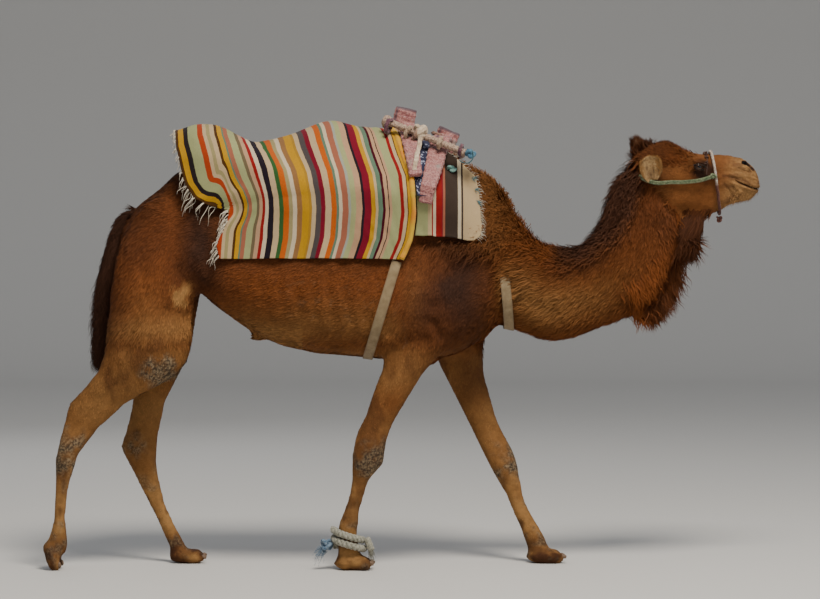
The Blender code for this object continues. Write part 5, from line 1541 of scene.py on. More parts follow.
def addBlanket():
    span = sum(wide for _, wide in blanketStripes)

    def wrinkle(p):
        x, y, z = p.T
        turn = np.degrees(np.arctan2(np.abs(y), z - clothEdges["axis"]))
        low = step01(turn, 38.0, 84.0)
        phase = 9.0 * x + 1.6 * fogs(p, 3.0, 61)
        flute = np.sin(phase * 2 * math.pi * 0.55) * 0.0065 * low
        soft = fogs(p * np.array([1.0, 0.6, 0.45]), 9.0, 62, 3) * 0.0045
        pulls = np.sin((x * 16 + z * 7 + 0.9 * fogs(p, 4.0, 63)) * 2 * math.pi) * 0.0022 * step01(x, -0.30,
                -0.02)
        sag = np.sin((z * 6.5 + 1.4 * x) * 2 * math.pi) * 0.0028 * bell(turn, 40.0, 18.0)
        notch = np.exp(-(((x + 0.83) / 0.05) ** 2) - (((z - 1.70) / 0.035) ** 2))
        flap = 0.014 * step01(-x, 0.78, 0.93) * step01(z, 1.67, 1.72) * step01(1.97 - z, 0.0, 0.08)
        flap = flap + 0.032 * bell(x, -0.345, 0.105) * step01(46.0 - turn, 0.0, 34.0)
        tucks = 0.006 * np.sin((x * 0.6 - z) * 2 * math.pi / 0.06) * np.exp(-(((x + 0.80) / 0.12) ** 2)
                - (((z - 1.70) / 0.07) ** 2))
        return flute + soft + pulls + sag - 0.014 * notch + flap + tucks

    def front(v):
        return read(clothEdges["blanketFront"], v) - 0.006

    def rear(v):
        return read(clothEdges["blanketRear"], v) + 0.004

    flapEdge = [(-1.055, 2.000), (-0.995, 1.790), (-0.946, 1.720), (-0.900, 1.697), (-0.830, 1.690),
                (-0.790, 1.700)]
    straight = [(0.0, -1.065), (0.2, -1.045), (0.42, -0.985), (0.53, -0.950), (0.77, -0.942), (1.0, -0.942)]

    def share(points, w, v):
        # The stripes run from front to rear as if the rear edge were straight. On the near flap
        # they turn to follow its edge, and below it they are pushed back by the tuck.
        x, near = points[:, :, 0], step01(-v, 0.0, 0.1)
        back = read(straight, np.abs(v)) * near + rear(v) * (1 - near)
        plain = (front(v) - x) / (front(v) - back)
        tuck = 0.060 * bell(v, -0.545, 0.11) * step01(-x, 0.55, 0.80) * near
        gap = lineGap(points.reshape(-1, 3), flapEdge)[0].reshape(x.shape)
        along = 1.0 - gap / 1.02
        bent = step01(-x, 0.775, 0.86) * near * (v > -0.54)
        return (plain + tuck) * (1 - bent) + np.maximum(plain, along) * bent
    mesh, points = drapedSheet(
        "blanket_cloth", "blanket", front, rear, lambda v: read(clothEdges["blanketTurn"], v) * 0.992,
        blanket["columns"], blanket["rows"], blanket["thick"], wrinkle, share)
    look = wovenLook(blanketStripes, span)
    material = newMaterial("stripedWool", (0.5, 0.4, 0.3), 0.95, look, 0.05, 0.06)
    piece = finishSheet("blanket_cloth", mesh, material, "blanket", blanket["thick"])
    wide, down, area = sheetSize(points)
    print("blanket", round(wide, 3), round(down, 3), round(area, 3))
    rim = points[-1]
    pick = np.linspace(3, len(rim) - 4, 230).astype(int)
    pick = np.clip(pick + random.integers(-1, 2, len(pick)), 0, len(rim) - 1)
    starts = rim[pick] + jitter(len(pick), 3) * 0.006
    ways = unit(rim[pick] - points[-5][pick])
    cotton = newMaterial("yarn", (0.62, 0.54, 0.42), 0.9, None, 0.2, 0.2)
    # long yarns on the flap, short ones over the back and down the side
    turn = np.degrees(np.arctan2(np.abs(starts[:, 1]), starts[:, 2] - clothEdges["axis"]))
    long = 0.026 + 0.052 * step01(turn, 24.0, 40.0) - 0.022 * step01(turn, 56.0, 64.0)
    fringe = yarns("blanket_fringe", starts, ways * 0.7 - up * 0.5, long, 0.0023, cotton, "striped_wool")
    # the front edge is rolled: a soft tube along it, yellow above and orange below
    edge = points[0] + np.array([0.004, 0.0, 0.0])
    roll = evenly(edge, 0.012)
    lumps = 0.0115 * (1 + 0.12 * fogs(roll, 14.0, 64))
    rolled = sweep(roll, (0, 0, 1.0), lumps[:, None] * np.ones(12), 12)

    def rollLook(wire):
        low = wire.noise(wire.mapped(wire.place(), (2.0, 2.0, 9.0)), 1.4, 3.0).between(0.42, 0.60)
        colour = low.blend(wool["yellow"], (0.60, 0.22, 0.02))
        grain = wire.noise(wire.place(), 240.0, 2.0)
        return {"Base Color": colour, "Normal": wire.bump(grain, 0.002, 0.6)}
    roller = place("blanket_roll", rolled,
                   newMaterial("rolledWool", (0.5, 0.3, 0.03), 0.9, rollLook, 0.15, 0.2),
                   "striped_wool")
    return piece


frontCloth = {
    "rows": 62,
    "columns": 122,
    "thick": 0.0030,
    "fringe": 260,
    "fringeLong": 0.028,
    "tasselAt": [29, 34, 38, 79, 75, 70],
    "tasselYarns": 22,
}


def addFrontCloth():
    span = sum(wide for _, wide in frontStripes)

    def wrinkle(p):
        x, _, z = p.T
        lumps = 0.0050 * fogs(p * np.array([1.0, 0.6, 0.6]), 15.0, 65, 3)
        pulls = 0.0030 * np.sin((x * 13 + z * 3 + fogs(p, 5.0, 67)) * 2 * math.pi) * step01(1.78 - z, 0.0,
                0.15)
        return lumps + pulls + 0.002 * np.sin(x * 40.0 + 2 * z)

    def front(v):
        return read(clothEdges["clothFront"], v) - 0.004

    def rear(v):
        turn = np.abs(v) * clothEdges["clothTurn"] / 84.0
        return read(clothEdges["blanketFront"], turn) + 0.014
    mesh, points = drapedSheet(
        "front_sheet", "front_cloth", front, rear, lambda v: clothEdges["clothTurn"] * 0.985 + 0 * v,
        frontCloth["rows"], frontCloth["columns"], frontCloth["thick"], wrinkle, lambda p, w,
        v: (0.374 - p[:, :, 0]) / 0.374)
    material = newMaterial("frontWool", (0.5, 0.4, 0.3), 0.95, wovenLook(frontStripes, span), 0.05, 0.06)
    piece = finishSheet("front_sheet", mesh, material, "front_cloth", 0.0036)
    wide, long, area = sheetSize(points)
    print("front cloth", round(wide, 3), round(long, 3), round(area, 3))
    rim = points[0]
    pick = np.linspace(2, len(rim) - 3, frontCloth["fringe"]).astype(int)
    ways = unit(points[0][pick] - points[3][pick])
    frayed = yarns("front_fringe", rim[pick], ways, frontCloth["fringeLong"], 0.0013,
                   newMaterial("frayed", (0.62, 0.56, 0.44), 0.9, None, 0.2, 0.2), "striped_wool", 0.9)
    starts = np.repeat(points[2][frontCloth["tasselAt"]], frontCloth["tasselYarns"], axis=0)
    starts = starts + jitter(*starts.shape) * 0.014
    tassel = yarns("front_tassel", starts, np.array([0.5, 0.0, 0.1]) + (starts - points[4][54]) * 0.5,
                   0.030, 0.0016, newMaterial("tealYarn", (0.020, 0.190, 0.240), 0.85, None, 0.2, 0.3),
                   "striped_wool", 0.9)
    return piece


underCloth = {
    "rows": 26,
    "columns": 72,
    "turn": 45.0,
    "thick": 0.003,
}


def addUnderCloth():
    # a small blue figured cloth between the posts, over the front cloth
    def look(wire):
        uv = wire.uv("weave")
        cells = wire.node("TexVoronoi", {"feature": "F1"},
                          {"Vector": wire.mapped(uv, (70.0, 60.0, 1.0)), "Scale": 1.0})
        specks = wire.noise(wire.place(), 190.0, 2.0)
        colour = cells.between(0.40, 0.30).blend((0.016, 0.018, 0.050), (0.300, 0.320, 0.420))
        colour = specks.between(0.60, 0.68).blend(colour, (0.03, 0.03, 0.06))
        return {"Base Color": colour, "Normal": wire.bump(specks, 0.0015, 0.6)}

    def front(v):
        return read([(0.0, 0.190), (0.35, 0.168), (0.7, 0.140), (1.0, 0.122)], np.abs(v))

    def rear(v):
        return read([(0.0, 0.030), (0.35, 0.045), (0.7, 0.060), (1.0, 0.076)], np.abs(v))

    def wrinkle(p):
        return 0.0075 + 0.0030 * fogs(p, 22.0, 66, 3)
    mesh, points = drapedSheet("under_cloth", "front_cloth", front, rear,
                               lambda v: underCloth["turn"] + 0 * v,
                               underCloth["rows"], underCloth["columns"], 0.0, wrinkle,
                               lambda p, w, v: w * 0.1 + 0 * v)
    paint = newMaterial("figuredCloth", (0.05, 0.05, 0.12), 0.85, look, 0.25, 0.2)
    piece = newObject("under_cloth", mesh, paint)
    thicken(piece, underCloth["thick"])
    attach(piece, "root")
    wide, long, area = sheetSize(points)
    print("under cloth", round(wide, 3), round(long, 3), round(area, 3))


def speckleLook(wire):
    place = wire.place()
    edge = wire.attribute("edge")
    coarse = wire.noise(place, 130.0, 3.0)
    fine = wire.noise(place, 420.0, 2.0)
    worn = wire.noise(place, 16.0, 4.0)
    colour = coarse.between(0.38, 0.60).blend((0.190, 0.042, 0.045), (0.400, 0.165, 0.140))
    colour = fine.between(0.62, 0.70).blend(colour, (0.66, 0.58, 0.52))
    colour = fine.between(0.36, 0.30).blend(colour, (0.050, 0.030, 0.060))
    colour = worn.between(0.56, 0.70).blend(colour, (0.250, 0.200, 0.170))
    colour = edge.blend(colour, (0.055, 0.018, 0.030))
    return {"Base Color": colour, "Normal": wire.bump(coarse * 0.6 + fine, 0.0016, 0.7)}


def stickLook(wire):
    place = wire.place()
    twist = wire.noise(wire.mapped(place, (34.0, 90.0, 90.0), (0.0, 0.5, 0.0)), 3.0, 2.0)
    dirt = wire.noise(place, 40.0, 3.0)
    colour = twist.between(0.38, 0.60).blend((0.210, 0.120, 0.080), (0.460, 0.330, 0.240))
    colour = dirt.between(0.55, 0.72).blend(colour, (0.10, 0.055, 0.045))
    return {"Base Color": colour, "Normal": wire.bump(twist + dirt * 0.4, 0.003, 0.8)}


def clothLook(first, second, scale=60.0):
    def look(wire):
        mixed = wire.noise(wire.place(), scale, 3.0)
        grain = wire.noise(wire.place(), 500.0, 2.0)
        colour = mixed.between(0.36, 0.64).blend(first, second)
        return {"Base Color": colour, "Normal": wire.bump(mixed * 0.7 + grain, 0.002, 0.7)}
    return look


def ropeLook(first, second, fleck, share=0.64):
    def look(wire):
        mixed = wire.noise(wire.place(), 90.0, 3.0)
        fibre = wire.noise(wire.place(), 700.0, 2.0)
        spots = wire.noise(wire.place(), 240.0, 2.0)
        colour = mixed.between(0.36, 0.66).blend(first, second)
        colour = spots.between(share, share + 0.05).blend(colour, fleck)
        return {"Base Color": colour, "Normal": wire.bump(fibre, 0.0012, 0.6)}
    return look


def skinTree():
    return BVHTree.FromPolygons(readPoints(skin.data).tolist(), hide.corners.tolist())


def copied(node, cell, rounds, folds=0.0, scale=30.0, seed=70, grow=0.0, again=None):
    # a node's form in fine cells, smoothed and folded
    mesh = remeshed(nodeMesh([node], grow), cell, rounds)
    points, normals = readPoints(mesh), readNormals(mesh)
    lift = folds * fogs(points, scale, seed, 3)
    if again is not None:
        lift = lift + again(points, normals)
    writePoints(mesh, points + normals * lift[:, None])
    mesh.polygons.foreach_set("use_smooth", np.ones(len(mesh.polygons), bool))
    return mesh


def fromCopy(name, node, mesh, material):
    piece = newObject(name, mesh, material)
    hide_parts(node)
    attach(piece, "root")
    return piece


def addSaddleFrame():
    pink = newMaterial("pinkWrap", (0.5, 0.2, 0.2), 0.55, speckleLook, 0.5, 0.2)
    posts = (("arch_rear_wrap", "saddle_arch_rear", (0.014, 2.103), 14.0),
             ("arch_front_wrap", "saddle_arch_front", (0.208, 2.002), 22.0))
    for name, node, (x, z), lean in posts:
        def creases(p, n):
            return 0.0012 * np.sin((p[:, 2] * 1.0 + p[:, 0] * 0.35) * 2 * math.pi / 0.026)
        mesh = copied(node, 0.0055, 4, 0.0016, 28.0, 71, 0.0008, creases)
        p = readPoints(mesh)
        turn = math.radians(lean)
        rise = (p[:, 0] - x) * math.sin(turn) + (p[:, 2] - z) * math.cos(turn)
        along = (p[:, 0] - x) * math.cos(turn) - (p[:, 2] - z) * math.sin(turn)
        tape = bell(along, -0.040, 0.006) * step01(rise, -0.05, -0.03)
        setAttribute(mesh, "edge", np.maximum(step01(rise, 0.038, 0.044), tape))
        fromCopy(name, node, mesh, pink)
    stick = newMaterial("wrappedStick", (0.3, 0.2, 0.15), 0.7, stickLook, 0.35, 0.1)
    for side, word in ((-1, "right"), (1, "left")):
        node = "side_bar_" + word
        points = nodePoints(node)
        low, high = points[points[:, 0].argmin()], points[points[:, 0].argmax()]
        ahead = unit(high - low)

        def spiral(p, n, low=low, ahead=ahead):
            q = p - low
            along = q @ ahead
            away = q - ahead * along[:, None]
            turn = np.arctan2(away[:, 1], away[:, 2])
            wound = np.sin(along * 2 * math.pi / 0.021 + turn * side)
            return 0.0022 * wound * step01(along, 0.06, 0.11)
        fromCopy("bar_" + word, node, copied(node, 0.0042, 3, 0.0009, 60.0, 72, 0.0004, spiral), stick)


def addTies():
    cream = newMaterial("creamRag", (0.5, 0.4, 0.3), 0.9,
                        clothLook((0.62, 0.50, 0.36), (0.40, 0.28, 0.18)), 0.2, 0.2)
    mesh = copied("tie_cloth", 0.0038, 3, 0.0035, 45.0, 73)
    fromCopy("tie_strip", "tie_cloth", mesh, cream)
    points = nodePoints("tie_cloth")
    knotAt = points[points[:, 2] > points[:, 2].max() - 0.05].mean(axis=0)
    place("tie_knot", knotParts(knotAt, (0.030, 0.028, 0.036), 0.0095, (0.4, 0.3, 0.2)), cream, "cotton")
    blue = newMaterial("blueRag", (0.1, 0.2, 0.3), 0.85,
                       clothLook((0.030, 0.100, 0.170), (0.100, 0.220, 0.300)), 0.2, 0.2)
    teal = newMaterial("tealRag", (0.1, 0.3, 0.3), 0.85,
                       clothLook((0.045, 0.190, 0.170), (0.250, 0.420, 0.360)), 0.2, 0.2)
    for name, node, paint in (("blue_rag", "rag_blue", blue), ("teal_rag", "rag_teal", teal)):
        points = nodePoints(node)
        middle, half = (points.min(0) + points.max(0)) / 2, (points.max(0) - points.min(0)) / 2
        place(name, knotParts(middle, half * 0.86, min(half) * 0.42, (0.5, 0.2, 0.9)), paint, "cotton",
              [node])


def ragRoll(name, rows, radius, material, twist=0.030, seed=91):
    # a strip of cloth twisted into a roll: a tube whose section has three lobes that turn along it
    path = evenly(smoothPath(rows, 120), 0.0035)
    s = np.linspace(0, 1, len(path))[:, None]
    turn = np.linspace(0, 2 * math.pi, 16, endpoint=False)[None]
    where = np.arange(len(path))[:, None] * 0.0035
    lobes = 1 + 0.20 * np.cos(3 * turn + where / twist * 2 * math.pi) + 0.10 * np.sin(5 * turn - where * 140)
    ends = np.clip(np.minimum(s, 1 - s) * 14, 0.30, 1)
    thick = radius * lobes * ends * (1 + 0.15 * fogs(path, 40.0, seed))[:, None]
    return place(name, sweep(path, (0.1, 0.2, 1.0), thick, 16), material, "cotton")


def ringRows(centre, across, rise, half, lift, turns=1.15, start=0.0):
    # points of a loop round a post, which climbs a little as it goes
    t = np.linspace(start, start + turns * 2 * math.pi, 14)
    loop = np.cos(t)[:, None] * np.array(across) * half[0] + np.sin(t)[:,
            None] * np.array([0.0, 1.0, 0.0]) * half[1]
    return np.array(centre) + loop + np.array(rise) * (t / (2 * math.pi) * lift)[:, None]


def addRags():
    # cloths tied round the posts and the bars
    brown = newMaterial("brownRag", (0.2, 0.1, 0.08), 0.9,
                        clothLook((0.120, 0.055, 0.040), (0.300, 0.180, 0.120), 45.0), 0.2, 0.2)
    beige = newMaterial("beigeRag", (0.4, 0.3, 0.2), 0.9,
                        clothLook((0.470, 0.350, 0.240), (0.250, 0.150, 0.095), 50.0), 0.2, 0.2)
    plum = newMaterial("plumRag", (0.1, 0.03, 0.06), 0.85,
                       clothLook((0.060, 0.016, 0.030), (0.170, 0.070, 0.085), 55.0), 0.3, 0.3)
    lean = np.array([math.sin(math.radians(14)), 0.0, math.cos(math.radians(14))])
    across = np.array([lean[2], 0.0, -lean[0]])
    post = np.array([0.014, 0.0, 2.103])
    for k, (drop, half, paint) in enumerate(((-0.070, (0.052, 0.040), beige), (-0.092, (0.055, 0.046), brown),
                                             (-0.114, (0.053, 0.052), beige),
                                             (-0.132, (0.050, 0.058), plum))):
        rows = ringRows(post + lean * drop, across, lean, half, 0.010, 1.2, k * 1.7)
        ragRoll("post_rag_%d" % (k + 1), rows, 0.0125, paint, 0.040, 91 + k)
    post = np.array([0.208, 0.0, 2.002])
    lean = np.array([math.sin(math.radians(22)), 0.0, math.cos(math.radians(22))])
    across = np.array([lean[2], 0.0, -lean[0]])
    for k, (drop, half, paint) in enumerate(((-0.020, (0.056, 0.031), beige),
                                             (0.006, (0.056, 0.031), brown))):
        rows = ringRows(post + lean * drop - across * 0.012, across, lean, half, 0.008, 1.1, k * 2.1)
        ragRoll("front_rag_%d" % (k + 1), rows, 0.0075, paint, 0.030, 97 + k)
    for word in ("right", "left"):
        points = nodePoints("side_bar_" + word)
        low, high = points[points[:, 0].argmin()], points[points[:, 0].argmax()]
        ahead = unit(high - low)
        rest = unit(np.cross(ahead, [0.0, 1.0, 0.0]))
        for k, (share, half,
                paint) in enumerate(((0.075, 0.030, plum), (0.30, 0.026, beige), (0.385, 0.025, brown),
                                                  (0.66, 0.022, beige), (0.90, 0.022, plum))):
            centre = low + (high - low) * share
            t = np.linspace(0, 2.2 * math.pi, 14) + k
            loop = np.cos(t)[:, None] * rest * half + np.sin(t)[:, None] * np.cross(ahead, rest) * half
            ragRoll("bar_rag_%s_%d" % (word, k + 1), centre + loop + ahead * (t * 0.0016)[:, None], 0.0085,
                    paint, 0.030, 101 + k)
    # a teal cord hangs in a loop from the front end of the near bar
    teal = newMaterial("tealCord", (0.03, 0.08, 0.09), 0.8, None, 0.3, 0.1)
    bar = nodePoints("side_bar_right")
    end = bar[bar[:, 0].argmax()]
    rows = [end + np.array(d) for d in ((0.0, -0.005, 0.012), (0.022, -0.022, 0.004), (0.026, -0.036, -0.030),
                                        (0.006, -0.040, -0.052), (-0.022, -0.040, -0.050),
                                        (-0.036, -0.034, -0.040))]
    place("teal_loop", sweep(evenly(smoothPath(rows, 60), 0.003), (0, 1.0, 0.1), 0.0026, 8), teal, "cotton")


def bandPiece(name, node, top, bottom, wide, thick, count, start, stop, material, moved=None):
    # A flat woven strap: its inner face is felt out on the node, in the plane of top and bottom.
    tree = treeOf([node])
    top, bottom = np.array(top), np.array(bottom)
    centre = (top + bottom) / 2
    lean = unit(top - bottom)
    side = np.array([lean[2], 0.0, -lean[0]])
    closed = stop - start > 359.9
    turn = np.radians(np.linspace(start, stop, count, endpoint=not closed))
    ways = lean[None] * np.cos(turn)[:, None] + np.array([0.0, 1.0, 0.0]) * -np.sin(turn)[:, None]
    across = np.array([-1.0, -0.96, -0.5, 0.0, 0.5, 0.96, 1.0])
    reach = np.zeros((len(across), count))
    for i, a in enumerate(across):
        for j in range(count):
            origin = centre + side * wide / 2 * min(max(a, -0.86), 0.86)
            reach[i, j] = hit(tree, origin, ways[j], 1.0)
            if moved:
                reach[i, j] = moved(origin, ways[j], reach[i, j])
    reach = np.where(reach < 0.05, np.median(reach, axis=0, keepdims=True), reach)
    smooth = np.stack([np.convolve(np.concatenate([r[-3:], r, r[:3]])
                                   if closed else np.pad(r, 3, mode="edge"),
                                   np.ones(7) / 7, "valid") for r in reach])
    outer = centre + side * (across * wide / 2)[:, None, None] + ways[None] * smooth[:, :, None]
    inner = outer - ways[None] * thick
    ring = np.concatenate([outer, inner[::-1]], 0)
    rows, columns = ring.shape[:2]
    i = np.arange(rows)[:, None]
    j = np.arange(columns if closed else columns - 1)[None]
    a, b = i * columns + j, i * columns + (j + 1) % columns
    c, d = ((i + 1) % rows) * columns + (j + 1) % columns, ((i + 1) % rows) * columns + j
    faces = [np.stack([a, b, c, d], -1).reshape(-1, 4)]
    if not closed:
        faces.append((np.arange(rows) * columns)[None])
        faces.append((np.arange(rows)[::-1] * columns + columns - 1)[None])
    mesh = arrayMesh(name, ring.reshape(-1, 3), faces)
    long = np.concatenate([[0], np.cumsum(np.linalg.norm(np.diff(ring[3], axis=0), axis=1))])
    down = np.tile(np.concatenate([across, across[::-1]]), (columns, 1)).T
    setUv(mesh, "weave", np.stack([down * wide / 2, np.tile(long, (rows, 1))], -1).reshape(-1, 2))
    piece = newObject(name, outward(mesh), material)
    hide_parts(node)
    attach(piece, "root")
    return piece


def webbingLook(wire):
    uv = wire.uv("weave")
    across, down, _ = wire.split(uv)
    warp = wire.maths("SINE", across * (2 * math.pi / 0.0035))
    weft = wire.maths("SINE", down * (2 * math.pi / 0.0045))
    worn = wire.noise(wire.place(), 26.0, 4.0)
    colour = worn.between(0.30, 0.75).blend((0.300, 0.225, 0.125), (0.180, 0.120, 0.060))
    edge = wire.maths("ABSOLUTE", across).between(0.0175, 0.0190)
    colour = (edge * 0.35).blend(colour, (0.16, 0.09, 0.05))
    return {"Base Color": colour, "Normal": wire.bump(warp * weft, 0.0010, 0.6)}


strap = {"wide": 0.046, "thick": 0.0035}


def addStraps():
    # The breast strap lies deep in the long hair from the withers down, and comes out below.
    under = skinTree()

    def sunk(origin, way, reach):
        inner = hit(under, origin, way, 1.0) + 0.0075
        low = step01(1.36 - (origin[2] + way[2] * reach), 0.0, 0.10)
        return inner * (1 - low) + max(inner, reach - 0.010) * low
    webbing = newMaterial("webbing", (0.45, 0.34, 0.22), 0.85, webbingLook, 0.25, 0.1)
    bandPiece("girth_strap", "girth", (0.110, 0, 1.860), (-0.158, 0, 0.975), strap["wide"], strap["thick"],
              150, 86.0, 274.0,
              webbing)
    bandPiece("breast_band", "breast_strap", (0.430, 0, 1.860), (0.503, 0, 1.140), strap["wide"],
              strap["thick"], 160, 0.0, 360.0,
              webbing, sunk)


halter = {
    "cheek": [(1.448, 1.829), (1.390, 1.812), (1.320, 1.804), (1.250, 1.803), (1.190, 1.800), (1.140, 1.815)],
    "nape": (1.105, 0, 1.830),
    "step": 0.0022,
    "braidRadius": 0.0078,
    "braidPitch": 0.030,
    "cordRadius": 0.0066,
    "cordPitch": 0.022,
    "knotsAt": (5, 8, 11, 15, 18, 21),
}


def addHalter():
    head = treeOf(["head", "neck"])
    under = skinTree()
    green = newMaterial("greenRope", (0.1, 0.12, 0.05), 0.7,
                        ropeLook((0.060, 0.095, 0.040), (0.190, 0.210, 0.110), (0.50, 0.47, 0.33)), 0.35, 0.1)
    cheek = []
    for x, z in halter["cheek"]:
        reach = hit(head, (x, 0, z), (0, -1, 0), 0.5)
        cheek.append((x, -reach - 0.0115, z))
    for turn in (66, 44, 20):
        way = unit(np.array([-0.05, -math.sin(math.radians(turn)), math.cos(math.radians(turn))]))
        cheek.append(tuple(np.array(halter["nape"]) + way * (hit(under, halter["nape"], way, 0.5) + 0.002)))
    over = cheek + [(x, -y, z) for x, y, z in cheek[::-1]]
    path = evenly(smoothPath(over, 400), halter["step"])
    made = laidRope(path, (0.0, 1.0, 0.3), halter["braidRadius"], 3, halter["braidPitch"], plait=True)
    place("halter_braid", made, green, "green_rope", ["halter_rope"])
    # the nose band: two dark cords wound together, pale over the nose
    points = nodePoints("noseband")
    middle = points.mean(axis=0)
    turn = np.arctan2(points[:, 1], points[:, 2] - middle[2])
    ring = []
    for t in np.linspace(-math.pi, math.pi, 21)[:-1]:
        near = np.abs(np.angle(np.exp(1j * (turn - t)))) < 0.24
        ring.append(points[near].mean(axis=0))
    ring = np.array(ring + ring[:1])
    ring = evenly(smoothClosed(ring[:-1], 300), halter["step"], True)
    made = laidRope(ring, (1.0, 0.0, 0.1), halter["cordRadius"], 3, halter["cordPitch"], True)

    def bandColours(wire):
        height = wire.split(wire.place())[2]
        ragged = wire.noise(wire.place(), 60.0, 2.0) * 0.05
        dark = wire.noise(wire.place(), 120.0, 2.0).between(0.4, 0.6).blend((0.050, 0.014, 0.010),
                (0.110, 0.035, 0.020))
        pale = wire.noise(wire.place(), 200.0, 2.0).between(0.45, 0.55).blend((0.50, 0.45, 0.38),
                (0.22, 0.14, 0.10))
        return {"Base Color": (height + ragged).between(1.815, 1.835).blend(dark, pale)}
    brown = newMaterial("noseCord", (0.08, 0.03, 0.02), 0.7, bandColours, 0.35, 0.1)
    place("nose_cord", made, brown, "brown_rope", ["noseband"])
    points = nodePoints("chin_knot")
    place("chin_cord_knot", knotParts(points.mean(axis=0), (0.0135, 0.0135, 0.0135), 0.0048, (1.2, 0.2, 0.4)),
          brown, "brown_rope", ["chin_knot"])
    # a thin knotted cord over the nose, behind the band
    rows = []
    for turn in np.radians(np.linspace(-78, 78, 27)):
        way = np.array([0.0, math.sin(turn), math.cos(turn)])
        rows.append(np.array([1.422 + 0.010 * math.cos(turn), 0.0, 1.820]) + way
                    * (hit(head, (1.425, 0, 1.820), way, 0.5) + 0.0015))
    thin = [sweep(evenly(smoothPath(np.array(rows), 120), 0.003), (1.0, 0, 0.2), 0.0024, 8)]
    for index in halter["knotsAt"]:
        thin.append(knotParts(rows[index] + np.array([-0.004, 0.0, 0.003]), (0.0085, 0.0085, 0.0085),
                              0.0034, (index, 0.4, 0.2)))
    place("nose_knots", joinParts(thin), newMaterial("knotCord", (0.055, 0.022, 0.012), 0.6, None, 0.4),
          "brown_rope")
    # knots where the cheek rope meets the nose band
    x, z, size = 1.452, 1.832, 0.015
    for name, side in (("cheek_knot_right", -1), ("cheek_knot_left", 1)):
        reach = hit(head, (x, 0, z), (0, side, 0), 0.5)
        place(name, knotParts((x + 0.006, side * (reach + 0.010), z), (size, size * 0.7, size), 0.0050,
                              (1.3, 0.4, side)),
              green, "green_rope")


def smoothClosed(rows, count):
    rows = np.asarray(rows, float)
    n = len(rows)
    t = np.linspace(0, n, count, endpoint=False)
    i = t.astype(int)
    f = (t - i)[:, None]
    a, b, c, d = (rows[(i + k) % n] for k in (-1, 0, 1, 2))
    return curveThrough(a, b, c, d, f)


hobble = {
    "turns": 1.95,
    "radius": 0.0165,
    "pitch": 0.060,
    "middle": (-0.245, -0.135, 0.172),
    "drop": 0.040,
    "tail": [(-0.160, -0.160, 0.150), (-0.150, -0.160, 0.125), (-0.138, -0.158, 0.092)],
}


def addHobble():
    tree = treeOf(["foreleg_right"])
    path = []
    for turn in np.linspace(0.0, hobble["turns"], 44):
        angle = turn * 2 * math.pi
        way = np.array([-math.cos(angle), -math.sin(angle), 0.0])
        x, y, z = hobble["middle"]
        origin = np.array([x, y, z - hobble["drop"] * turn + 0.016 * math.cos(angle)])
        reach = max([hit(tree, origin + up * rise, way, 0.15) for rise in (-0.02, 0.0, 0.02)] + [0.050])
        path.append(origin + way * (reach + 0.022))
    path = np.array(path)
    for _ in range(4):
        path[1:-1] = (path[:-2] + 2 * path[1:-1] + path[2:]) / 4
    rope = newMaterial("greyRope", (0.3, 0.3, 0.25), 0.85,
                       ropeLook((0.190, 0.185, 0.140), (0.400, 0.380, 0.300), (0.56, 0.54, 0.45)), 0.25, 0.2)
    tail = smoothPath(np.array(hobble["tail"]), 40)
    made = [laidRope(evenly(way, 0.003), toward, hobble["radius"], 3, hobble["pitch"])
            for way, toward in ((path, (0, 0, 1.0)), (tail, (0, 1.0, 0.0)))]
    place("hobble_laid", joinParts(made), rope, "grey_rope", ["hobble_rope"])
    ends = np.repeat(np.array([[-0.140, -0.158, 0.094]]), 60, axis=0) + jitter(60, 3) * 0.022
    yarns("hobble_fray", ends, np.tile([0.15, 0.0, -1.0], (60, 1)), 0.034, 0.0010, rope, "grey_rope", 0.7)
    blue = newMaterial("blueCord", (0.1, 0.2, 0.35), 0.8,
                       ropeLook((0.060, 0.120, 0.200), (0.220, 0.300, 0.380), (0.55, 0.55, 0.50)), 0.3, 0.1)
    place("hobble_tied",
          knotParts((-0.345, -0.150, 0.118), (0.026, 0.024, 0.036), 0.0088, (0.5, 0.3, 0.2)), blue,
          "grey_rope", ["hobble_knot"])
    starts = np.repeat(np.array([[-0.358, -0.152, 0.110], [-0.352, -0.150, 0.092]]), 34, axis=0)
    starts = starts + jitter(*starts.shape) * 0.018
    yarns("hobble_blue_fray", starts, np.tile([-0.9, -0.15, -0.35], (68, 1)), 0.048, 0.0012, blue,
          "grey_rope", 0.9)


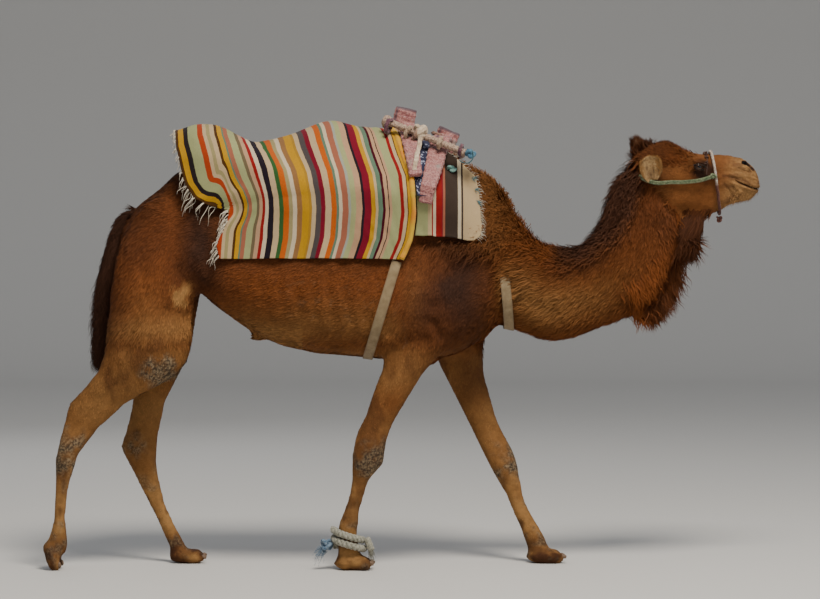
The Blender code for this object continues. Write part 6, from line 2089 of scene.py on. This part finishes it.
def addEyes():
    def look(wire):
        # colour by the distance across and above the pupil's middle, in the eye's own axes
        uv = wire.uv("gaze")
        a, b, _ = wire.split(uv)
        ring = (a * a + b * b).power(0.5)
        pupil = ((a * 0.62) * (a * 0.62) + (b * 1.35) * (b * 1.35)).power(0.5)
        fibres = wire.noise(wire.mapped(uv, (900.0, 900.0, 1.0)), 1.0, 2.0)
        iris = fibres.blend((0.030, 0.012, 0.005), (0.085, 0.036, 0.014))
        colour = pupil.between(0.0072, 0.0064).blend(iris, (0.002, 0.002, 0.003))
        colour = ring.between(0.0150, 0.0165).blend(colour, (0.015, 0.008, 0.006))
        return {"Base Color": colour}
    wet = newMaterial("eyeball", (0.03, 0.015, 0.01), 0.12, look, 0.35)
    wet.node_tree.nodes["Principled BSDF"].inputs["Coat Weight"].default_value = 0.25
    wet.node_tree.nodes["Principled BSDF"].inputs["Coat Roughness"].default_value = 0.02
    dark = newMaterial("lash", (0.016, 0.009, 0.006), 0.5, None, 0.4)
    for side, word in ((-1, "right"), (1, "left")):
        centre = np.array(skinShape["eyes"][0 if side < 0 else 1])
        out, ahead, rise = eyeFrame(side)
        turn = np.linspace(0, 2 * math.pi, 48, endpoint=False)
        tilt = np.linspace(0, math.pi, 26)[1:-1]
        radius = skinShape["eyeRadius"] - 0.0006
        grid = (np.cos(tilt)[:, None, None] * out + np.sin(tilt)[:, None, None]
                * (np.cos(turn)[None, :, None] * ahead + np.sin(turn)[None, :, None] * rise))
        bulge = 1 + 0.035 * np.exp(-(tilt / 0.62) ** 4)
        points = np.vstack([out[None] * 1.035, (grid * bulge[:, None, None]).reshape(-1, 3),
                            -out[None]]) * radius
        rows = np.arange(len(tilt) - 1)[:, None] * 48 + 1
        j = np.arange(48)[None]
        k = (j + 1) % 48
        quads = np.stack([rows + j, rows + 48 + j, rows + 48 + k, rows + k], -1).reshape(-1, 4)
        j = np.arange(48)
        last = 1 + (len(tilt) - 1) * 48
        caps = np.concatenate([np.stack([0 * j, 1 + j, 1 + (j + 1) % 48], 1),
                               np.stack([0 * j + len(points) - 1, last + (j + 1) % 48, last + j], 1)])
        mesh = arrayMesh("eyeball_" + word, points + centre, [quads, caps])
        setUv(mesh, "gaze", np.stack([points @ ahead, points @ rise], 1))
        piece = newObject("eyeball_" + word, outward(mesh), wet)
        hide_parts("eye_" + word)
        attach(piece, "root")
        # lashes: two rows of thin curved tubes on the upper lid, one short row on the lower
        count = 150
        where = np.concatenate([np.linspace(0.08, 0.92, 50), np.linspace(0.10, 0.90, 50),
                                np.linspace(0.15, 0.85, 50)])
        where = where + jitter(count) * 0.01
        upper = np.arange(count) < 100
        angle = np.where(upper, where * math.pi, -where * math.pi)
        a = np.cos(angle) * skinShape["lidWide"] * 1.04
        b = np.sin(angle) * skinShape["lidHigh"] * np.where(upper, 1.10, 0.92)
        deep = np.sqrt(np.maximum((radius + 0.004) ** 2 - a * a - b * b, 0.0))
        root = centre + ahead * a[:, None] + rise * b[:, None] + out * deep[:, None]
        long = np.where(upper, 0.023, 0.011) * (0.7 + 0.5 * random.random(count))
        s = np.linspace(0, 1, 6)[None, :, None]
        fan = (a / skinShape["lidWide"])[:, None, None] * ahead * 0.7
        lean = out * 0.95 + np.where(upper, 0.10, -0.75)[:, None, None] * rise + fan
        curve = np.where(upper, -0.55, 0.10)[:, None, None] * rise * s * s
        path = root[:, None] + (lean * s + curve) * long[:, None, None]
        made = [sweep(path[i], rise, np.linspace(0.00055, 0.00012, 6)[:, None] * np.ones(3), 3)
                for i in range(count)]
        place("lashes_" + word, joinParts(made), dark, "eye")


ears = {
    # base, tip, the way the hollow faces, half the width, how far it curls
    "right": ((1.166, -0.108, 1.812), (1.140, -0.146, 1.924), (0.22, -1, 0.12), 0.054, 0.95),
    "left": ((1.145, 0.080, 1.895), (1.100, 0.108, 2.012), (0.3, 1, 0.2), 0.030, 1.5),
    "leaf": [(0.0, 0.42), (0.12, 0.62), (0.30, 0.88), (0.50, 1.0), (0.68, 1.0), (0.83, 0.86), (0.93, 0.60),
             (1.0, 0.16)],
    "hairs": 1700,
}


def addEars():
    def look(wire):
        inner = wire.attribute("hollow")
        grain = wire.noise(wire.place(), 120.0, 3.0)
        colour = grain.between(0.35, 0.65).blend((0.250, 0.140, 0.055), (0.400, 0.260, 0.120))
        # the hollow attribute darkens the ear: painted shade in its cup and down one side, dark spots on the
        # skin, and the far ear all over
        colour = (inner * 0.9).clamped().blend(colour, (0.060, 0.026, 0.012))
        return {"Base Color": colour, "Normal": wire.bump(grain, 0.0025, 0.7)}
    paint = newMaterial("earSkin", (0.35, 0.2, 0.1), 0.8, look, 0.25)
    for word in ("right", "left"):
        base, tip, facing, wide, cup = ears[word]
        base, tip = np.array(base), np.array(tip)
        along = unit(tip - base)
        length = np.linalg.norm(tip - base)
        face = unit(np.array(facing, float) - along * np.dot(facing, along))
        side = np.cross(along, face)
        # A leaf curled into a cup: v runs up it, u across it from edge to edge. Its rim comes
        # forward, and two folds run up inside it.
        u = np.linspace(-1, 1, 27)[None, :]
        v = np.linspace(0, 1, 34)[:, None]
        half = wide * read(ears["leaf"], v)
        turn = u * cup * (1.35 - 0.5 * v)
        across = half * np.sin(turn) / np.sin(cup * (1.35 - 0.5 * v)).clip(0.55)
        rim = half * (1 - np.cos(turn)) * 1.05 + 0.010 * v**4
        folds = 0.0045 * np.exp(-(((np.abs(u) - 0.42) / 0.16) ** 2)) * np.sin(np.clip(v * 1.15, 0, 1)
                * math.pi)
        points = (base + (v * length)[:, :, None] * along + across[:, :, None] * side
                  + (rim + folds)[:, :, None] * face)
        grid = np.arange(34 * 27).reshape(34, 27)
        quads = np.stack([grid[:-1, :-1], grid[1:, :-1], grid[1:, 1:], grid[:-1, 1:]], -1).reshape(-1, 4)
        mesh = arrayMesh("ear_shell_" + word, points.reshape(-1, 3), quads)
        # painted shade in the lower hollow of the cup; the spots are dark spots inside it, the last one
        # painted shade down one side
        hollow = 0.55 * step01(0.55 - np.abs(u), 0.0, 0.3) * step01(0.62 - v, 0.0, 0.3)
        spots = ((-0.22, 0.52, 0.10, 0.13), (0.30, 0.36, 0.08, 0.17), (0.02, 0.22, 0.16, 0.14),
                 (0.75, 0.35, 0.18, 0.25))
        for a, b, broad, high in spots:
            hollow = np.maximum(hollow, 0.95 * np.exp(-(((u - a) / broad) ** 2) - ((v - b) / high) ** 2))
        dark = 0.95 * (word == "left")
        setAttribute(mesh, "hollow", np.maximum(hollow, dark).ravel())
        piece = finishSheet("ear_shell_" + word, mesh, paint, "ear_" + word, 0.0042)
        shell = piece.data
        shell.polygons.foreach_set("use_smooth", np.ones(len(shell.polygons), bool))
        triangulated(shell)
        earHide = Hide(shell)
        roots, normals = earHide.scatter(int(ears["hairs"] * quickShare),
                                         lambda c: (0.25 + step01((c - base) @ along / length, 0.0, 0.2))
                                         * (0.2 + step01(np.abs((c - base) @ side) / wide, 0.45, 0.75)
                                            + 2.0 * (word == "left")))
        flow = np.tile(along, (len(roots), 1)) + jitter(len(roots), 3) * 0.5
        rim = np.abs((roots - base) @ side) / wide
        long = 0.008 + 0.013 * rim if word == "right" else 0.024 + 0.022 * rim
        lie = {"flow": unit(flow), "length": long * (0.6 + 0.6 * random.random(len(roots))), "width": 0.0024,
               "lift": 0.25 + 0.2 * random.random(len(roots)), "wave": 0.05}
        inside = np.exp(-((rim / 0.25) ** 2)) * step01(0.085 - (roots - base) @ along, 0.0, 0.04)
        far = {"dark": 0.62, "pale": 0.0} if word == "left" else {"dark": 0.55 * inside, "pale": 0.85,
                "sandy": 0.0}
        makeTufts("ear_fur_" + word, roots, normals, lie, 3, "head", tuftFinish, far)


nails = {"cell": 0.0026, "outside": 0.003}


def addNails(skin):
    # nails that grow out of the toes: each is moved back until its middle is just outside the skin
    def look(wire):
        grain = wire.noise(wire.mapped(wire.place(), (60.0, 60.0, 240.0)), 3.0, 3.0)
        colour = grain.blend((0.090, 0.050, 0.028), (0.230, 0.140, 0.080))
        return {"Base Color": colour, "Normal": wire.bump(grain, 0.0015, 0.6)}
    horn = newMaterial("horn", (0.1, 0.06, 0.03), 0.45, look, 0.5)
    for leg in ("foreleg_right", "foreleg_left", "hindleg_left", "hindleg_right"):
        for word in ("outer", "inner"):
            node = "toenail_" + leg + "_" + word
            mesh = copied(node, nails["cell"], 6, 0.0006, 90.0, 81, 0.0008)
            points = readPoints(mesh)
            centre = points.mean(0)
            near, normal = skin.closest_point_on_mesh(centre)[1:3]
            away = centre - np.array(near)
            far = np.linalg.norm(away)
            if away @ np.array(normal) > 0 and far > nails["outside"]:
                writePoints(mesh, points - away * (1 - nails["outside"] / far))
                print("nail", leg, word, "moved back", round(far - nails["outside"], 4))
            fromCopy("nail_" + leg + "_" + word, node, mesh, horn)


tail = {
    "line": [(-1.230, 1.650), (-1.285, 1.620), (-1.3255, 1.550), (-1.353, 1.455), (-1.3725, 1.350),
             (-1.381, 1.230),
             (-1.386, 1.120), (-1.387, 1.030), (-1.3825, 0.975), (-1.380, 0.950)],
    "core": 0.040,
    "hairs": 10500,
    "width": 0.0062,
    "end": 0.945,
}


def addTail():
    # a thin core under long hair that hangs from all round it
    line = np.array([(x, 0.0, z) for x, z in tail["line"]])
    path = evenly(smoothPath(line, 200), 0.012)
    s = np.linspace(0, 1, len(path))
    radius = tail["core"] * (1 - 0.50 * s) * np.sqrt(np.clip((1 - s) * 8, 0.02, 1))
    coreParts = sweep(path, (1.0, 0.0, 0.0), radius[:, None] * np.ones(18), 18)
    mesh = outward(arrayMesh("tail_core", *coreParts))
    triangulated(mesh)
    points = readPoints(mesh)
    marks = {"dark": 0.55 + 0.4 * step01(1.5 - points[:, 2], 0, 0.3), "pale": 0.0, "sandy": 0.0, "red": 0.4}
    for name, values in marks.items():
        setAttribute(mesh, name, np.broadcast_to(values, len(points)))
    core = newObject("tail_core", mesh, skinFinish)
    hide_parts("tail")
    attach(core, "root")
    tailHide = Hide(mesh)
    roots, normals = tailHide.scatter(int(tail["hairs"] * quickShare),
                                      lambda c: 0.4 + step01(1.60 - c[:, 2], 0.0, 0.5))
    along = np.zeros_like(roots)
    order = np.argsort(line[:, 2])
    slope = np.gradient(line[:, 0], line[:, 2])
    along[:, 0] = -np.interp(roots[:, 2], line[order, 2], slope[order])
    along[:, 2] = -1.0
    along = unit(along) + jitter(*along.shape) * 0.18
    room = np.maximum(roots[:, 2] - tail["end"], 0.02)
    long = np.minimum(0.06 + 0.16 * step01(1.60 - roots[:, 2], 0.0, 0.3),
                      room + 0.03) * (0.6 + 0.5 * random.random(len(roots)))
    lie = {"flow": unit(along), "length": long, "width": tail["width"], "lift": 0.30, "sag": 0.04,
           "wave": 0.11, "turns": 1.7}
    makeTufts("tail_hair", roots, normals, lie, 5, "tail", tuftFinish,
              {"dark": 0.95, "pale": 0.0, "sandy": 0.0})


def addPad():
    def look(wire):
        grain = wire.noise(wire.place(), 260.0, 2.0)
        dye = wire.noise(wire.place(), 22.0, 3.0)
        colour = dye.between(0.45, 0.55).blend((0.110, 0.050, 0.030), (0.260, 0.170, 0.090))
        return {"Base Color": colour, "Normal": wire.bump(grain, 0.002, 0.6)}
    quilt = newMaterial("padQuilt", (0.2, 0.1, 0.06), 0.9, look, 0.2, 0.2)
    mesh = copied("saddle_pad", 0.012, 6, 0.0015, 14.0, 82, -0.001)
    piece = fromCopy("saddle_pad_quilt", "saddle_pad", mesh, quilt)


addCamera()
addStage()
skin = makeSkin()
hide = Hide(skin.data)
addCoat(hide)
addPad()
addBlanket()
addFrontCloth()
addUnderCloth()
addSaddleFrame()
addTies()
addRags()
addStraps()
addHalter()
addHobble()
addEyes()
addEars()
addNails(skin)
addTail()
print("gear done")
